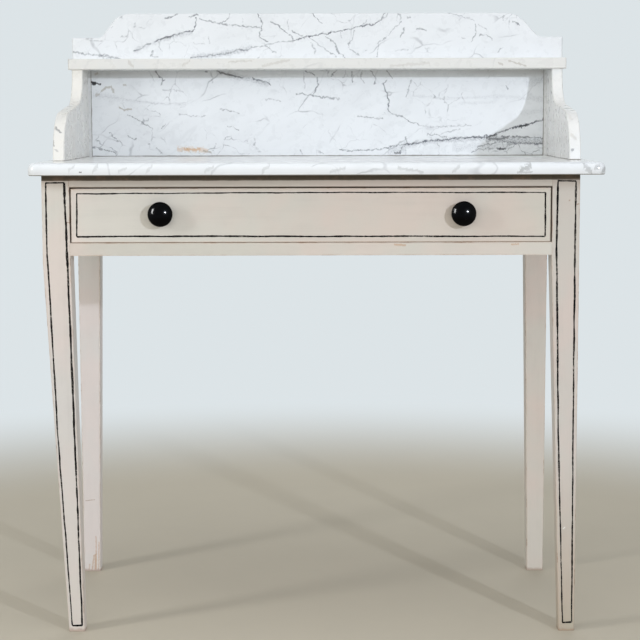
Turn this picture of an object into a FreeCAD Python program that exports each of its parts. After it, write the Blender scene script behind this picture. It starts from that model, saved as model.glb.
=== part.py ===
import FreeCAD, Part
import math
import os
import re

import Sketcher

# Painted washstand with a marble top, marble back, two shaped cheeks and a marble shelf.
# Millimetres, +Z up, +X to the right of someone who faces it, the front towards -Y.
# The origin is on the floor, under the middle of the whole object's box.

sizes = {
    # wooden frame
    "frame_width": 858,
    "frame_depth": 425,
    "frame_height": 745,
    # legs
    "leg_size": 44,
    "back_leg_size": 40,
    "foot_size": 26,
    "back_foot_size": 30,
    "taper_drop": 10,
    "block_edge_radius": 0.6,
    "foot_edge_radius": 2,
    "left_foot_drift": 31,
    # rails and aprons
    "top_rail_thickness": 19.5,
    "bottom_rail_thickness": 20.5,
    "opening_height": 88.5,
    "apron_thickness": 19,
    "apron_inset": 3,
    "tenon_length": 18,
    "tenon_thickness": 8,
    "tenon_shoulder": 12,
    "rail_tenon_width": 10,
    "rail_tail_neck": 18,
    "rail_tail_tip": 24,
    "joint_gap": 0.15,
    # what the drawer runs in
    "runner_reach": 20,
    "guide_height": 25,
    "stop_length": 30,
    "stop_depth": 16,
    "stop_height": 6,
    "block_size": 28,
    "block_length": 60,
    # cut nails of the runners and kickers
    "nail_width": 4,
    "nail_head": 9,
    "nail_head_height": 2,
    "nail_bite": 12,
    # drawer
    "drawer_side_gap": 1.5,
    "drawer_top_gap": 1.7,
    "run_gap": 0.3,
    "front_setback": 0.5,
    "drawer_back_gap": 42.5,
    "drawer_front_thickness": 20,
    "drawer_side_thickness": 11,
    "drawer_back_thickness": 11,
    "drawer_bottom_thickness": 6,
    "front_edge_radius": 1,
    "front_lap": 5,
    "tail_count": 3,
    "back_pin_count": 2,
    "bottom_lift": 9,
    "groove_depth": 5,
    "back_drop": 6,
    "brad_width": 2,
    "brad_head": 5,
    "brad_head_height": 1,
    "brad_bite": 20,
    # knobs
    "knob_diameter": 41,
    "knob_projection": 28,
    "knob_crown_radius": 26,
    "knob_spacing": 482,
    "knob_shift": 2,
    "knob_lift": 2.8,
    "knob_neck": 17,
    "knob_base": 22,
    "knob_base_height": 3,
    "knob_neck_height": 4.5,
    "knob_rim_radius": 6,
    "knob_screw_shank": 4,
    "knob_screw_head": 9,
    "knob_screw_head_height": 2.5,
    "knob_screw_reach": 13,
    "washer_diameter": 14,
    "washer_thickness": 1,
    # marble slab
    "slab_thickness": 20,
    "slab_end_overhang": 28,
    "slab_front_overhang": 28,
    "slab_back_overhang": 19,
    "top_shift": 9.5,
    "ovolo_radius": 10,
    "slab_corner_radius": 14,
    "slab_arris": 1.5,
    "marble_arris": 1.5,
    # marble back
    "back_end_inset": 13,
    "back_height": 257,
    "back_thickness": 19,
    "shoulder_height": 214,
    "right_flat": 44,
    "right_run": 38,
    "right_hollow_radius": 18,
    "right_round_radius": 50,
    "left_flat": 53,
    "left_run": 32,
    "left_hollow_radius": 10,
    "left_round_radius": 40,
    # marble cheeks and shelf
    "cheek_end_inset": 22.5,
    "cheek_thickness": 19,
    "cheek_height": 155,
    "cheek_depth": 324,
    "cheek_neck_depth": 78,
    "cheek_front_height": 74,
    "cheek_rise_height": 98,
    "cheek_round_radius": 79,
    "cheek_hollow_radius": 61,
    "shelf_end_inset": 16.5,
    "shelf_depth": 84,
    "shelf_thickness": 19,
    "plaster_leg": 4,
    # iron pins between the marble pieces
    "pin_width": 6,
    "pin_depth": 12,
    # how far a cut runs past the wood it cuts
    "overrun": 5,
}

# Shares chosen by hand.
tail_tip_share = 0.74
tail_neck_share = 0.56
back_pin_narrow_share = 0.26
back_pin_wide_share = 0.42
nail_shares = (0.12, 0.5, 0.88)
rail_tenon_shares = (0.28, 0.72)
stop_share = 0.6
block_shares = (-0.64, 0, 0.64)
brad_shares = (-0.8, 0, 0.8)
back_pin_shares = (-0.8, 0, 0.8)
cheek_pin_shares = (0.2, 0.8)
rim_loss_share = 0.31
crown_rim_share = 1.15
round_wall_share = 0.98

# Places that several pieces share, measured in the wooden frame:
# x from its middle, y from its front, z from the floor.
inner_x = "(frame_width / 2 - leg_size)"
apron_outer_x = f"({inner_x} + back_leg_size - apron_inset)"
apron_inner_x = f"({apron_outer_x} - apron_thickness)"
back_apron_y = "(frame_depth - apron_inset - apron_thickness)"
side_length = "(frame_depth - leg_size - back_leg_size)"
apron_height = "(top_rail_thickness + opening_height + bottom_rail_thickness)"
rail_z = f"(frame_height - {apron_height})"
opening_z = f"({rail_z} + bottom_rail_thickness)"
kicker_z = "(frame_height - top_rail_thickness)"
runner_x = f"({inner_x} - runner_reach)"

# Drawer: x from its middle, y from its face, z from its lower edge.
drawer_depth = f"({back_apron_y} - front_setback - drawer_back_gap)"
half_drawer = f"({inner_x} - drawer_side_gap)"
inside_drawer = f"({half_drawer} - drawer_side_thickness)"
drawer_height = "(opening_height - drawer_top_gap - run_gap)"
bottom_top = "(bottom_lift + drawer_bottom_thickness)"
back_low = f"({bottom_top} + joint_gap)"
back_high = f"({drawer_height} - back_drop)"

# Marble: x from the middle of the slab, y from its back edge, z from its top face.
slab_width = "(frame_width + 2 * slab_end_overhang)"
slab_depth = "(slab_front_overhang + frame_depth + slab_back_overhang)"
half_back = f"({slab_width} / 2 - back_end_inset)"
half_shelf = f"({slab_width} / 2 - shelf_end_inset)"
cheek_outer_x = f"({slab_width} / 2 - cheek_end_inset)"
cheek_inner_x = f"({cheek_outer_x} - cheek_thickness)"
cheek_mid_x = f"({cheek_outer_x} - cheek_thickness / 2)"

# The origins, in the object's own frame.
front_reach = "max(slab_front_overhang; knob_projection - front_setback)"
front_y = f"(-({slab_depth} - slab_front_overhang - {front_reach}) / 2)"
frame_spot = ("-top_shift", front_y, "0")
drawer_spot = ("-top_shift", f"{front_y} + front_setback", f"{opening_z} + run_gap")
knob_z = f"({drawer_height} / 2 + knob_lift)"
knob_spot = ("knob_shift - top_shift", drawer_spot[1], f"{drawer_spot[2]} + {knob_z}")
marble_y = f"({front_y} + frame_depth + slab_back_overhang)"
marble_spot = ("0", marble_y, "frame_height + slab_thickness")

os.makedirs("parts", exist_ok=True)
doc = FreeCAD.newDocument("washstand")
sheet = doc.addObject("Spreadsheet::Sheet", "sizes")
for line, (word, amount) in enumerate(sizes.items(), 1):
    sheet.set(f"A{line}", word)
    sheet.set(f"B{line}", str(amount))
    sheet.setAlias(f"B{line}", word)
doc.recompute()

pieces = []
cuts = []


def bound(text):
    """The expression with each size's word pointing at its cell, and function names left as they are."""
    return re.sub(r"[a-z]\w*\b(?!\()", lambda word: f"sizes.{word.group()}", text)


def number(text):
    return float(sheet.evalExpression(text))


def signed(side, text):
    return f"{side} * {text}"


def moved(spot, x="0", y="0", z="0"):
    return tuple(f"{start} + {step}" for start, step in zip(spot, (x, y, z)))


def new_piece(label, spot, turn=0):
    piece = doc.addObject("PartDesign::Body", label)
    piece.Label = label
    piece.Placement.Rotation = FreeCAD.Rotation(FreeCAD.Vector(0, 0, 1), turn)
    for axis, text in zip("xyz", spot):
        piece.setExpression(f"Placement.Base.{axis}", bound(text))
    pieces.append(piece)
    return piece


def datum(piece, role):
    return next(item for item in piece.Origin.OriginFeatures if item.Role == role)


def drawing(piece, name, role, offset="0"):
    """A sketch on one of the piece's own planes, moved along that plane's normal."""
    sketch = piece.newObject("Sketcher::SketchObject", name)
    sketch.AttachmentSupport = [(datum(piece, role), "")]
    sketch.MapMode = "FlatFace"
    sketch.setExpression("AttachmentOffset.Base.z", bound(offset))
    return sketch


def fix(sketch, kind, where, text):
    """A dimension whose value is an expression."""
    constraint = sketch.addConstraint(Sketcher.Constraint(kind, *where, number(text)))
    sketch.setExpression(f"Constraints[{constraint}]", bound(text))


def fix_point(sketch, item, spot, x, y):
    fix(sketch, "DistanceX", (-1, 1, item, spot), x)
    fix(sketch, "DistanceY", (-1, 1, item, spot), y)


def arc_middle(start, end, radius):
    """Half way along an arc whose centre lies to the left of the chord."""
    chord = end - start
    left = FreeCAD.Vector(-chord.y, chord.x, 0).normalize()
    sag = radius - math.sqrt(radius**2 - (chord.Length / 2) ** 2)
    return (start + end) / 2 - left * sag


def outline(sketch, corners, arcs=None):
    """A closed outline; a corner's third value is the radius that rounds it.

    Sides are straight, apart from those in arcs, which bulge to the right with the radius given.
    """
    arcs = arcs or {}
    count = len(corners)
    points = [FreeCAD.Vector(number(corner[0]), number(corner[1]), 0) for corner in corners]
    radii = [number(corner[2]) if len(corner) == 3 else 0 for corner in corners]
    ways = [(points[(i + 1) % count] - points[i]).normalize() for i in range(count)]
    turns = [ways[i - 1].getAngle(ways[i]) for i in range(count)]
    trims = [radius * math.tan(turn / 2) for radius, turn in zip(radii, turns)]
    sides = []
    for i in range(count):
        after = (i + 1) % count
        start = points[i] + ways[i] * trims[i]
        end = points[after] - ways[i] * trims[after]
        if i in arcs:
            curve = Part.Arc(start, arc_middle(start, end, number(arcs[i])), end)
            sides.append(sketch.addGeometry(curve))
            fix(sketch, "Radius", (sides[-1],), arcs[i])
        else:
            sides.append(sketch.addGeometry(Part.LineSegment(start, end)))
    for i, corner in enumerate(corners):
        before, after = sides[i - 1], sides[i]
        if radii[i] == 0:
            sketch.addConstraint(Sketcher.Constraint("Coincident", before, 2, after, 1))
            fix_point(sketch, after, 1, corner[0], corner[1])
            continue
        inward = (ways[i] - ways[i - 1]).normalize()
        centre = points[i] + inward * (radii[i] / math.cos(turns[i] / 2))
        first = points[i] - ways[i - 1] * trims[i]
        last = points[i] + ways[i] * trims[i]
        arc = sketch.addGeometry(Part.Arc(first, centre - inward * radii[i], last))
        starts_first = sketch.getPoint(arc, 1).distanceToPoint(first) < radii[i] * math.sin(turns[i] / 2)
        head, tail = (1, 2) if starts_first else (2, 1)
        sketch.addConstraint(Sketcher.Constraint("Tangent", before, 2, arc, head))
        sketch.addConstraint(Sketcher.Constraint("Tangent", arc, tail, after, 1))
        fix(sketch, "Radius", (arc,), corner[2])
        peak = sketch.addGeometry(Part.Point(points[i]), True)
        sketch.addConstraint(Sketcher.Constraint("PointOnObject", peak, 1, before))
        sketch.addConstraint(Sketcher.Constraint("PointOnObject", peak, 1, after))
        fix_point(sketch, peak, 1, corner[0], corner[1])
    return sides


def rectangle(sketch, x_low, x_high, y_low, y_high):
    return outline(sketch, [(x_low, y_low), (x_high, y_low), (x_high, y_high), (x_low, y_high)])


def square(sketch, x, y, width):
    half = f"({width}) / 2"
    rectangle(sketch, f"{x} - {half}", f"{x} + {half}", f"{y} - {half}", f"{y} + {half}")


def circle(sketch, x, y, diameter):
    middle = FreeCAD.Vector(number(x), number(y), 0)
    ring = sketch.addGeometry(Part.Circle(middle, FreeCAD.Vector(0, 0, 1), number(f"{diameter} / 2")))
    fix(sketch, "Diameter", (ring,), diameter)
    fix_point(sketch, ring, 3, x, y)


def axis_on(sketch, side):
    """A construction line on one straight side, to turn the outline about."""
    start, end = sketch.getPoint(side, 1), sketch.getPoint(side, 2)
    axis = sketch.addGeometry(Part.LineSegment(start, end), True)
    sketch.addConstraint(Sketcher.Constraint("Coincident", axis, 1, side, 1))
    sketch.addConstraint(Sketcher.Constraint("Coincident", axis, 2, side, 2))
    return (sketch, ["Axis0"])


def pad(piece, sketch, length, against=False):
    """Material along the plane's normal, or against it."""
    feature = piece.newObject("PartDesign::Pad", "pad")
    feature.Profile = sketch
    feature.Reversed = against
    feature.setExpression("Length", bound(length))
    return feature


def pocket(piece, sketch, depth, along=False):
    """A cut against the plane's normal, or along it; no depth means right through."""
    feature = piece.newObject("PartDesign::Pocket", "pocket")
    feature.Profile = sketch
    feature.Reversed = along
    if depth:
        feature.setExpression("Length", bound(depth))
    else:
        feature.Type = "ThroughAll"
    cuts.append(feature)
    return feature


def turned(piece, sketch, axis):
    feature = piece.newObject("PartDesign::Revolution", "turned")
    feature.Profile = sketch
    feature.ReferenceAxis = axis
    feature.Angle = 360
    return feature


def repeat(piece, feature, role=None, length=None, count=None, mirrored=False):
    """The feature in a row along an axis, mirrored to the other side of the YZ plane, or both."""
    many = piece.newObject("PartDesign::MultiTransform", "repeat")
    many.Originals = [feature]
    steps = []
    if role:
        row = piece.newObject("PartDesign::LinearPattern", "row")
        row.Direction = (datum(piece, role), [""])
        row.setExpression("Length", bound(length))
        row.setExpression("Occurrences", bound(count))
        steps.append(row)
    if mirrored:
        mirror = piece.newObject("PartDesign::Mirrored", "mirror")
        mirror.MirrorPlane = (datum(piece, "YZ_Plane"), [""])
        steps.append(mirror)
    many.Transformations = steps
    piece.Tip = many
    return many


def edges_of(feature, chosen):
    """The edges whose middle point passes the test."""
    doc.recompute()
    edges = enumerate(feature.Shape.Edges, 1)
    return (feature, [f"Edge{i}" for i, edge in edges if chosen(edge.CenterOfMass)])


def rounded(piece, feature, radius, chosen):
    rounding = piece.newObject("PartDesign::Fillet", "rounded")
    rounding.Base = edges_of(feature, chosen)
    rounding.setExpression("Radius", bound(radius))
    return rounding


def bevelled(piece, feature, size, chosen):
    bevel = piece.newObject("PartDesign::Chamfer", "bevelled")
    bevel.Base = edges_of(feature, chosen)
    bevel.setExpression("Size", bound(size))
    return bevel


def row_span(length, shares):
    """From the first to the last of an even row of places along a length."""
    return f"{length} * {shares[-1] - shares[0]}"


def near(value, text):
    return math.isclose(value, number(text), abs_tol=number("joint_gap"))


# Legs


def leg_section(piece, name, height, xs, ys, radius):
    sketch = drawing(piece, name, "XY_Plane", height)
    outline(sketch, [(xs[i], ys[j], radius) for i, j in ((0, 0), (1, 0), (1, 1), (0, 1))])
    return sketch


def leg_shape(piece, side, outer_y, inward, size, foot, drift):
    """A square block over a shank that tapers on its two inner faces."""
    outer_x = f"({inner_x} + {size})"
    block_x = (signed(side, outer_x), signed(side, inner_x))
    block_y = (outer_y, f"{outer_y} + {inward} * {size}")
    foot_x = (signed(side, f"({outer_x} - {drift})"), signed(side, f"({outer_x} - {drift} - {foot})"))
    foot_y = (outer_y, f"{outer_y} + {inward} * {foot}")
    loft = piece.newObject("PartDesign::AdditiveLoft", "shank")
    loft.Ruled = True
    loft.Profile = leg_section(piece, "foot", "0", foot_x, foot_y, "foot_edge_radius")
    loft.Sections = [
        leg_section(piece, "block", f"{rail_z} - taper_drop", block_x, block_y, "block_edge_radius"),
        leg_section(piece, "head", "frame_height", block_x, block_y, "block_edge_radius"),
    ]


def side_mortise(piece, side, face_y, front):
    """The slot for the side apron's tenon."""
    sketch = drawing(piece, "side_mortise", "XZ_Plane", f"-({face_y})")
    middle = f"({apron_outer_x} - apron_thickness / 2)"
    half = "(tenon_thickness / 2 + joint_gap)"
    rectangle(
        sketch,
        f"{side} * {middle} - {half}",
        f"{side} * {middle} + {half}",
        f"{rail_z} + tenon_shoulder - joint_gap",
        "frame_height - tenon_shoulder + joint_gap",
    )
    pocket(piece, sketch, "tenon_length + joint_gap", along=front)


def front_leg(label, side, drift):
    piece = new_piece(label, frame_spot)
    leg_shape(piece, side, "0", 1, "leg_size", "foot_size", drift)
    side_mortise(piece, side, "leg_size", front=True)
    sketch = drawing(piece, "rail_mortises", "YZ_Plane", signed(side, inner_x))
    for share in rail_tenon_shares:
        half = "(rail_tenon_width / 2 + joint_gap)"
        rectangle(
            sketch,
            f"leg_size * {share} - {half}",
            f"leg_size * {share} + {half}",
            f"{rail_z} - joint_gap",
            f"{opening_z} + joint_gap",
        )
    pocket(piece, sketch, "tenon_length + joint_gap", along=side > 0)
    socket = drawing(piece, "rail_socket", "XY_Plane", "frame_height")
    neck = "(rail_tail_neck / 2 + joint_gap)"
    tip = "(rail_tail_tip / 2 + joint_gap)"
    tip_x = f"({inner_x} + tenon_length + joint_gap)"
    outline(
        socket,
        [
            (signed(side, inner_x), f"leg_size / 2 - {neck}"),
            (signed(side, tip_x), f"leg_size / 2 - {tip}"),
            (signed(side, tip_x), f"leg_size / 2 + {tip}"),
            (signed(side, inner_x), f"leg_size / 2 + {neck}"),
        ],
    )
    pocket(piece, socket, "top_rail_thickness + joint_gap")


def back_leg(label, side):
    piece = new_piece(label, frame_spot)
    leg_shape(piece, side, "frame_depth", -1, "back_leg_size", "back_foot_size", "0")
    side_mortise(piece, side, "frame_depth - back_leg_size", front=False)
    sketch = drawing(piece, "back_mortise", "YZ_Plane", signed(side, inner_x))
    half = "(tenon_thickness / 2 + joint_gap)"
    rectangle(
        sketch,
        f"{back_apron_y} + apron_thickness / 2 - {half}",
        f"{back_apron_y} + apron_thickness / 2 + {half}",
        f"{rail_z} + tenon_shoulder - joint_gap",
        "frame_height - tenon_shoulder + joint_gap",
    )
    pocket(piece, sketch, "tenon_length + joint_gap", along=side > 0)


front_leg("leg_front_left", -1, "left_foot_drift")
front_leg("leg_front_right", 1, "0")
back_leg("leg_back_left", -1)
back_leg("leg_back_right", 1)


# Front rails


def end_and_mirror(right_end):
    """The right end's corners, from front to back, and the left end's as their mirror."""
    return right_end + [(signed(-1, f"({x})"), y) for x, y in reversed(right_end)]


def top_rail():
    """Dropped into the legs from above, with a dovetail at each end."""
    piece = new_piece("top_front_rail", moved(frame_spot, z=kicker_z))
    sketch = drawing(piece, "plan", "XY_Plane")
    tip_x = f"{inner_x} + tenon_length"
    right_end = [
        (inner_x, "0"),
        (inner_x, "leg_size / 2 - rail_tail_neck / 2"),
        (tip_x, "leg_size / 2 - rail_tail_tip / 2"),
        (tip_x, "leg_size / 2 + rail_tail_tip / 2"),
        (inner_x, "leg_size / 2 + rail_tail_neck / 2"),
        (inner_x, "leg_size"),
    ]
    outline(sketch, end_and_mirror(right_end))
    pad(piece, sketch, "top_rail_thickness")


def bottom_rail():
    """Laid flat under the drawer, with twin tenons at each end."""
    piece = new_piece("bottom_front_rail", moved(frame_spot, z=rail_z))
    sketch = drawing(piece, "plan", "XY_Plane")
    tip_x = f"{inner_x} + tenon_length"
    right_end = [(inner_x, "0")]
    for share in rail_tenon_shares:
        low = f"leg_size * {share} - rail_tenon_width / 2"
        high = f"leg_size * {share} + rail_tenon_width / 2"
        right_end += [(inner_x, low), (tip_x, low), (tip_x, high), (inner_x, high)]
    right_end.append((inner_x, "leg_size"))
    outline(sketch, end_and_mirror(right_end))
    pad(piece, sketch, "bottom_rail_thickness")


top_rail()
bottom_rail()


# Aprons


def apron(label, spot, length, turn=0):
    """A board on edge, with a shouldered tenon at each end; x along it, y through it."""
    piece = new_piece(label, spot, turn)
    face = drawing(piece, "face", "XZ_Plane")
    low, high = "tenon_shoulder", f"{apron_height} - tenon_shoulder"
    tip = f"{length} + tenon_length"
    outline(
        face,
        [
            ("0", "0"),
            (length, "0"),
            (length, low),
            (tip, low),
            (tip, high),
            (length, high),
            (length, apron_height),
            ("0", apron_height),
            ("0", high),
            ("-tenon_length", high),
            ("-tenon_length", low),
            ("0", low),
        ],
    )
    pad(piece, face, "apron_thickness", against=True)
    waste = drawing(piece, "tenon_cheeks", "XY_Plane")
    ends = ((length, f"{tip} + overrun"), ("-tenon_length - overrun", "0"))
    faces = (
        ("-overrun", "apron_thickness / 2 - tenon_thickness / 2"),
        ("apron_thickness / 2 + tenon_thickness / 2", "apron_thickness + overrun"),
    )
    for end in ends:
        for cheek in faces:
            rectangle(waste, *end, *cheek)
    pocket(piece, waste, None, along=True)
    return piece


def side_apron(label, side):
    start_x = signed(side, apron_outer_x if side > 0 else apron_inner_x)
    piece = apron(label, moved(frame_spot, start_x, "leg_size", rail_z), side_length, turn=90)
    inner_face = "apron_thickness" if side > 0 else "0"
    holes = drawing(piece, "nail_holes", "XZ_Plane", f"-({inner_face})")
    for height in ("bottom_rail_thickness / 2", f"{apron_height} - top_rail_thickness / 2"):
        for share in nail_shares:
            square(holes, f"{side_length} * {share}", height, "nail_width + 2 * joint_gap")
    pocket(piece, holes, "nail_bite + joint_gap", along=side > 0)


side_apron("side_apron_left", -1)
side_apron("side_apron_right", 1)
apron("back_apron", moved(frame_spot, f"-{inner_x}", back_apron_y, rail_z), f"(2 * {inner_x})")


# Runners, guides and kickers


def nailed_strip(label, side, z, thickness):
    """A strip along the side apron, pierced for the nails that hold it."""
    piece = new_piece(label, moved(frame_spot, y="leg_size", z=z))
    plan = drawing(piece, "plan", "XY_Plane")
    rectangle(plan, signed(side, runner_x), signed(side, apron_inner_x), "0", side_length)
    pad(piece, plan, thickness)
    holes = drawing(piece, "nail_holes", "YZ_Plane", signed(side, runner_x))
    for share in nail_shares:
        square(holes, f"{side_length} * {share}", f"{thickness} / 2", "nail_width + 2 * joint_gap")
    pocket(piece, holes, None, along=side > 0)


def drawer_guide(label, side):
    piece = new_piece(label, moved(frame_spot, y="leg_size", z=opening_z))
    plan = drawing(piece, "plan", "XY_Plane")
    rectangle(plan, signed(side, inner_x), signed(side, apron_inner_x), "0", side_length)
    pad(piece, plan, "guide_height")


def strip_nails(label, z):
    """Cut nails with a flat T head, three a side, from the strip into the apron."""
    piece = new_piece(label, moved(frame_spot, y="leg_size"))
    middle = f"{side_length} * {nail_shares[0]}"
    plan = drawing(piece, "plan", "XY_Plane", f"{z} - nail_width / 2")
    head_x = f"({runner_x} - nail_head_height)"
    tip_x = f"({apron_inner_x} + nail_bite)"
    outline(
        plan,
        [
            (head_x, f"{middle} - nail_head / 2"),
            (runner_x, f"{middle} - nail_head / 2"),
            (runner_x, f"{middle} - nail_width / 2"),
            (tip_x, f"{middle} - nail_width / 2"),
            (tip_x, f"{middle} + nail_width / 2"),
            (runner_x, f"{middle} + nail_width / 2"),
            (runner_x, f"{middle} + nail_head / 2"),
            (head_x, f"{middle} + nail_head / 2"),
        ],
    )
    nail = pad(piece, plan, "nail_width")
    span = row_span(side_length, nail_shares)
    repeat(piece, nail, "Y_Axis", span, str(len(nail_shares)), mirrored=True)


for side, word in ((-1, "left"), (1, "right")):
    nailed_strip(f"drawer_runner_{word}", side, rail_z, "bottom_rail_thickness")
    nailed_strip(f"drawer_kicker_{word}", side, kicker_z, "top_rail_thickness")
    drawer_guide(f"drawer_guide_{word}", side)
strip_nails("runner_nails", f"{rail_z} + bottom_rail_thickness / 2")
strip_nails("kicker_nails", f"{kicker_z} + top_rail_thickness / 2")


# Stops and glue blocks


def drawer_stops():
    """Low blocks on the bottom rail that the back of the drawer front meets."""
    piece = new_piece("drawer_stops", moved(frame_spot, z=opening_z))
    plan = drawing(piece, "plan", "XY_Plane")
    stop_x = f"{inner_x} * {stop_share}"
    stop_y = "(front_setback + drawer_front_thickness + run_gap)"
    rectangle(plan, stop_x, f"{stop_x} + stop_length", stop_y, f"{stop_y} + stop_depth")
    repeat(piece, pad(piece, plan, "stop_height"), mirrored=True)


def glue_blocks():
    """Three-cornered blocks in the angle between the back apron and the marble."""
    piece = new_piece("glue_blocks", moved(frame_spot, y=back_apron_y, z="frame_height"))
    section = drawing(piece, "section", "YZ_Plane", f"{inner_x} * {block_shares[0]} - block_length / 2")
    outline(section, [("0", "0"), ("-block_size", "0"), ("0", "-block_size")])
    block = pad(piece, section, "block_length")
    repeat(piece, block, "X_Axis", row_span(inner_x, block_shares), str(len(block_shares)))


drawer_stops()
glue_blocks()


# Drawer box


def tail_pitch():
    return f"({drawer_height} / tail_count)"


def drawer_front():
    piece = new_piece("drawer_front", drawer_spot)
    face = drawing(piece, "face", "XZ_Plane")
    rectangle(face, f"-{half_drawer}", half_drawer, "0", drawer_height)
    board = pad(piece, face, "drawer_front_thickness", against=True)
    rounded(piece, board, "front_edge_radius", lambda middle: near(middle.y, "0"))
    sockets = drawing(piece, "tail_socket", "YZ_Plane", half_drawer)
    middle = f"{tail_pitch()} / 2"
    neck = f"{tail_pitch()} * {tail_neck_share} / 2"
    tip = f"{tail_pitch()} * {tail_tip_share} / 2"
    outline(
        sockets,
        [
            ("front_lap", f"{middle} - {tip}"),
            ("drawer_front_thickness", f"{middle} - {neck}"),
            ("drawer_front_thickness", f"{middle} + {neck}"),
            ("front_lap", f"{middle} + {tip}"),
        ],
    )
    socket = pocket(piece, sockets, "drawer_side_thickness + joint_gap")
    span = f"{tail_pitch()} * (tail_count - 1)"
    repeat(piece, socket, "Z_Axis", span, "tail_count", mirrored=True)
    groove = drawing(piece, "groove", "XZ_Plane", "-drawer_front_thickness")
    low, high = "bottom_lift - joint_gap", f"{bottom_top} + joint_gap"
    rectangle(groove, f"-{inside_drawer}", inside_drawer, low, high)
    pocket(piece, groove, "groove_depth", along=True)
    holes = drawing(piece, "knob_holes", "XZ_Plane", "-drawer_front_thickness")
    bore = "knob_screw_shank + 2 * joint_gap"
    for side in (-1, 1):
        circle(holes, f"knob_shift + {side} * knob_spacing / 2", knob_z, bore)
    pocket(piece, holes, None, along=True)


def drawer_side(label, side):
    """Tails for the blind dovetails at the front, slots for the back's pins, a groove for the bottom."""
    piece = new_piece(label, drawer_spot)
    outside = signed(side, half_drawer)
    face = drawing(piece, "face", "YZ_Plane", outside)
    rectangle(face, "front_lap + joint_gap", drawer_depth, "0", drawer_height)
    pad(piece, face, "drawer_side_thickness", against=side > 0)

    pins = drawing(piece, "pin_space", "YZ_Plane", outside)
    narrow = f"({tail_pitch()} * {1 - tail_tip_share} / 2 + joint_gap)"
    wide = f"({tail_pitch()} * {1 - tail_neck_share} / 2 + joint_gap)"
    outline(
        pins,
        [
            ("front_lap - overrun", f"-{narrow}"),
            ("front_lap", f"-{narrow}"),
            ("drawer_front_thickness", f"-{wide}"),
            ("drawer_front_thickness", wide),
            ("front_lap", narrow),
            ("front_lap - overrun", narrow),
        ],
    )
    space = pocket(piece, pins, None, along=side < 0)
    repeat(piece, space, "Z_Axis", drawer_height, "tail_count + 1")

    slots = drawing(piece, "back_slot", "YZ_Plane", outside)
    outline(slots, back_pin_corners("joint_gap", "overrun"))
    slot = pocket(piece, slots, None, along=side < 0)
    repeat(piece, slot, "Z_Axis", back_pin_span(), "back_pin_count")

    groove = drawing(piece, "groove", "YZ_Plane", signed(side, inside_drawer))
    low, high = "bottom_lift - joint_gap", f"{bottom_top} + joint_gap"
    rectangle(groove, "0", f"{drawer_depth} + overrun", low, high)
    pocket(piece, groove, "groove_depth", along=side > 0)


def back_pin_pitch():
    return f"(({back_high} - {back_low}) / back_pin_count)"


def back_pin_span():
    return f"{back_pin_pitch()} * (back_pin_count - 1)"


def back_pin_corners(gap, past):
    """The lowest pin of the drawer back, seen from the side: wide inside, narrow outside."""
    inside_y = f"{drawer_depth} - drawer_back_thickness - {gap}"
    middle = f"({back_low} + {back_pin_pitch()} / 2)"
    wide = f"({back_pin_pitch()} * {back_pin_wide_share} / 2 + {gap})"
    narrow = f"({back_pin_pitch()} * {back_pin_narrow_share} / 2 + {gap})"
    corners = [
        (inside_y, f"{middle} - {wide}"),
        (drawer_depth, f"{middle} - {narrow}"),
        (drawer_depth, f"{middle} + {narrow}"),
        (inside_y, f"{middle} + {wide}"),
    ]
    if past == "0":
        return corners
    run_out = f"{drawer_depth} + {past}"
    return corners[:2] + [(run_out, corners[1][1]), (run_out, corners[2][1])] + corners[2:]


def brad_holes(piece, height, depth):
    """Holes for the brads that hold the drawer bottom to the drawer back."""
    sketch = drawing(piece, "brad_holes", "XY_Plane", height)
    for share in brad_shares:
        middle = f"({drawer_depth} - drawer_back_thickness / 2)"
        square(sketch, f"{inside_drawer} * {share}", middle, "brad_width + 2 * joint_gap")
    pocket(piece, sketch, depth, along=True)


def drawer_back():
    """Stands on the drawer bottom, with pins through both sides."""
    piece = new_piece("drawer_back", drawer_spot)
    face = drawing(piece, "face", "XZ_Plane", f"-{drawer_depth}")
    rectangle(face, f"-{inside_drawer}", inside_drawer, back_low, back_high)
    pad(piece, face, "drawer_back_thickness")
    section = drawing(piece, "pin", "YZ_Plane", inside_drawer)
    outline(section, back_pin_corners("0", "0"))
    pin = pad(piece, section, "drawer_side_thickness")
    repeat(piece, pin, "Z_Axis", back_pin_span(), "back_pin_count", mirrored=True)
    brad_holes(piece, back_low, "brad_bite")


def drawer_bottom():
    piece = new_piece("drawer_bottom", moved(drawer_spot, z="bottom_lift"))
    plan = drawing(piece, "plan", "XY_Plane")
    reach = f"({inside_drawer} + groove_depth - joint_gap)"
    front = "drawer_front_thickness - groove_depth + joint_gap"
    rectangle(plan, f"-{reach}", reach, front, drawer_depth)
    pad(piece, plan, "drawer_bottom_thickness")
    brad_holes(piece, "0", None)


def bottom_brads():
    """Small cut nails driven up through the drawer bottom."""
    middle_y = f"{drawer_depth} - drawer_back_thickness / 2 + brad_width / 2"
    piece = new_piece("bottom_brads", moved(drawer_spot, y=middle_y, z="bottom_lift"))
    face = drawing(piece, "face", "XZ_Plane")
    middle = f"{inside_drawer} * {brad_shares[0]}"
    tip = "drawer_bottom_thickness + brad_bite"
    outline(
        face,
        [
            (f"{middle} - brad_head / 2", "-brad_head_height"),
            (f"{middle} + brad_head / 2", "-brad_head_height"),
            (f"{middle} + brad_head / 2", "0"),
            (f"{middle} + brad_width / 2", "0"),
            (f"{middle} + brad_width / 2", tip),
            (f"{middle} - brad_width / 2", tip),
            (f"{middle} - brad_width / 2", "0"),
            (f"{middle} - brad_head / 2", "0"),
        ],
    )
    brad = pad(piece, face, "brad_width")
    repeat(piece, brad, "X_Axis", row_span(inside_drawer, brad_shares), str(len(brad_shares)))


drawer_front()
drawer_side("drawer_side_left", -1)
drawer_side("drawer_side_right", 1)
drawer_back()
drawer_bottom()
bottom_brads()


# Knobs


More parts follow.
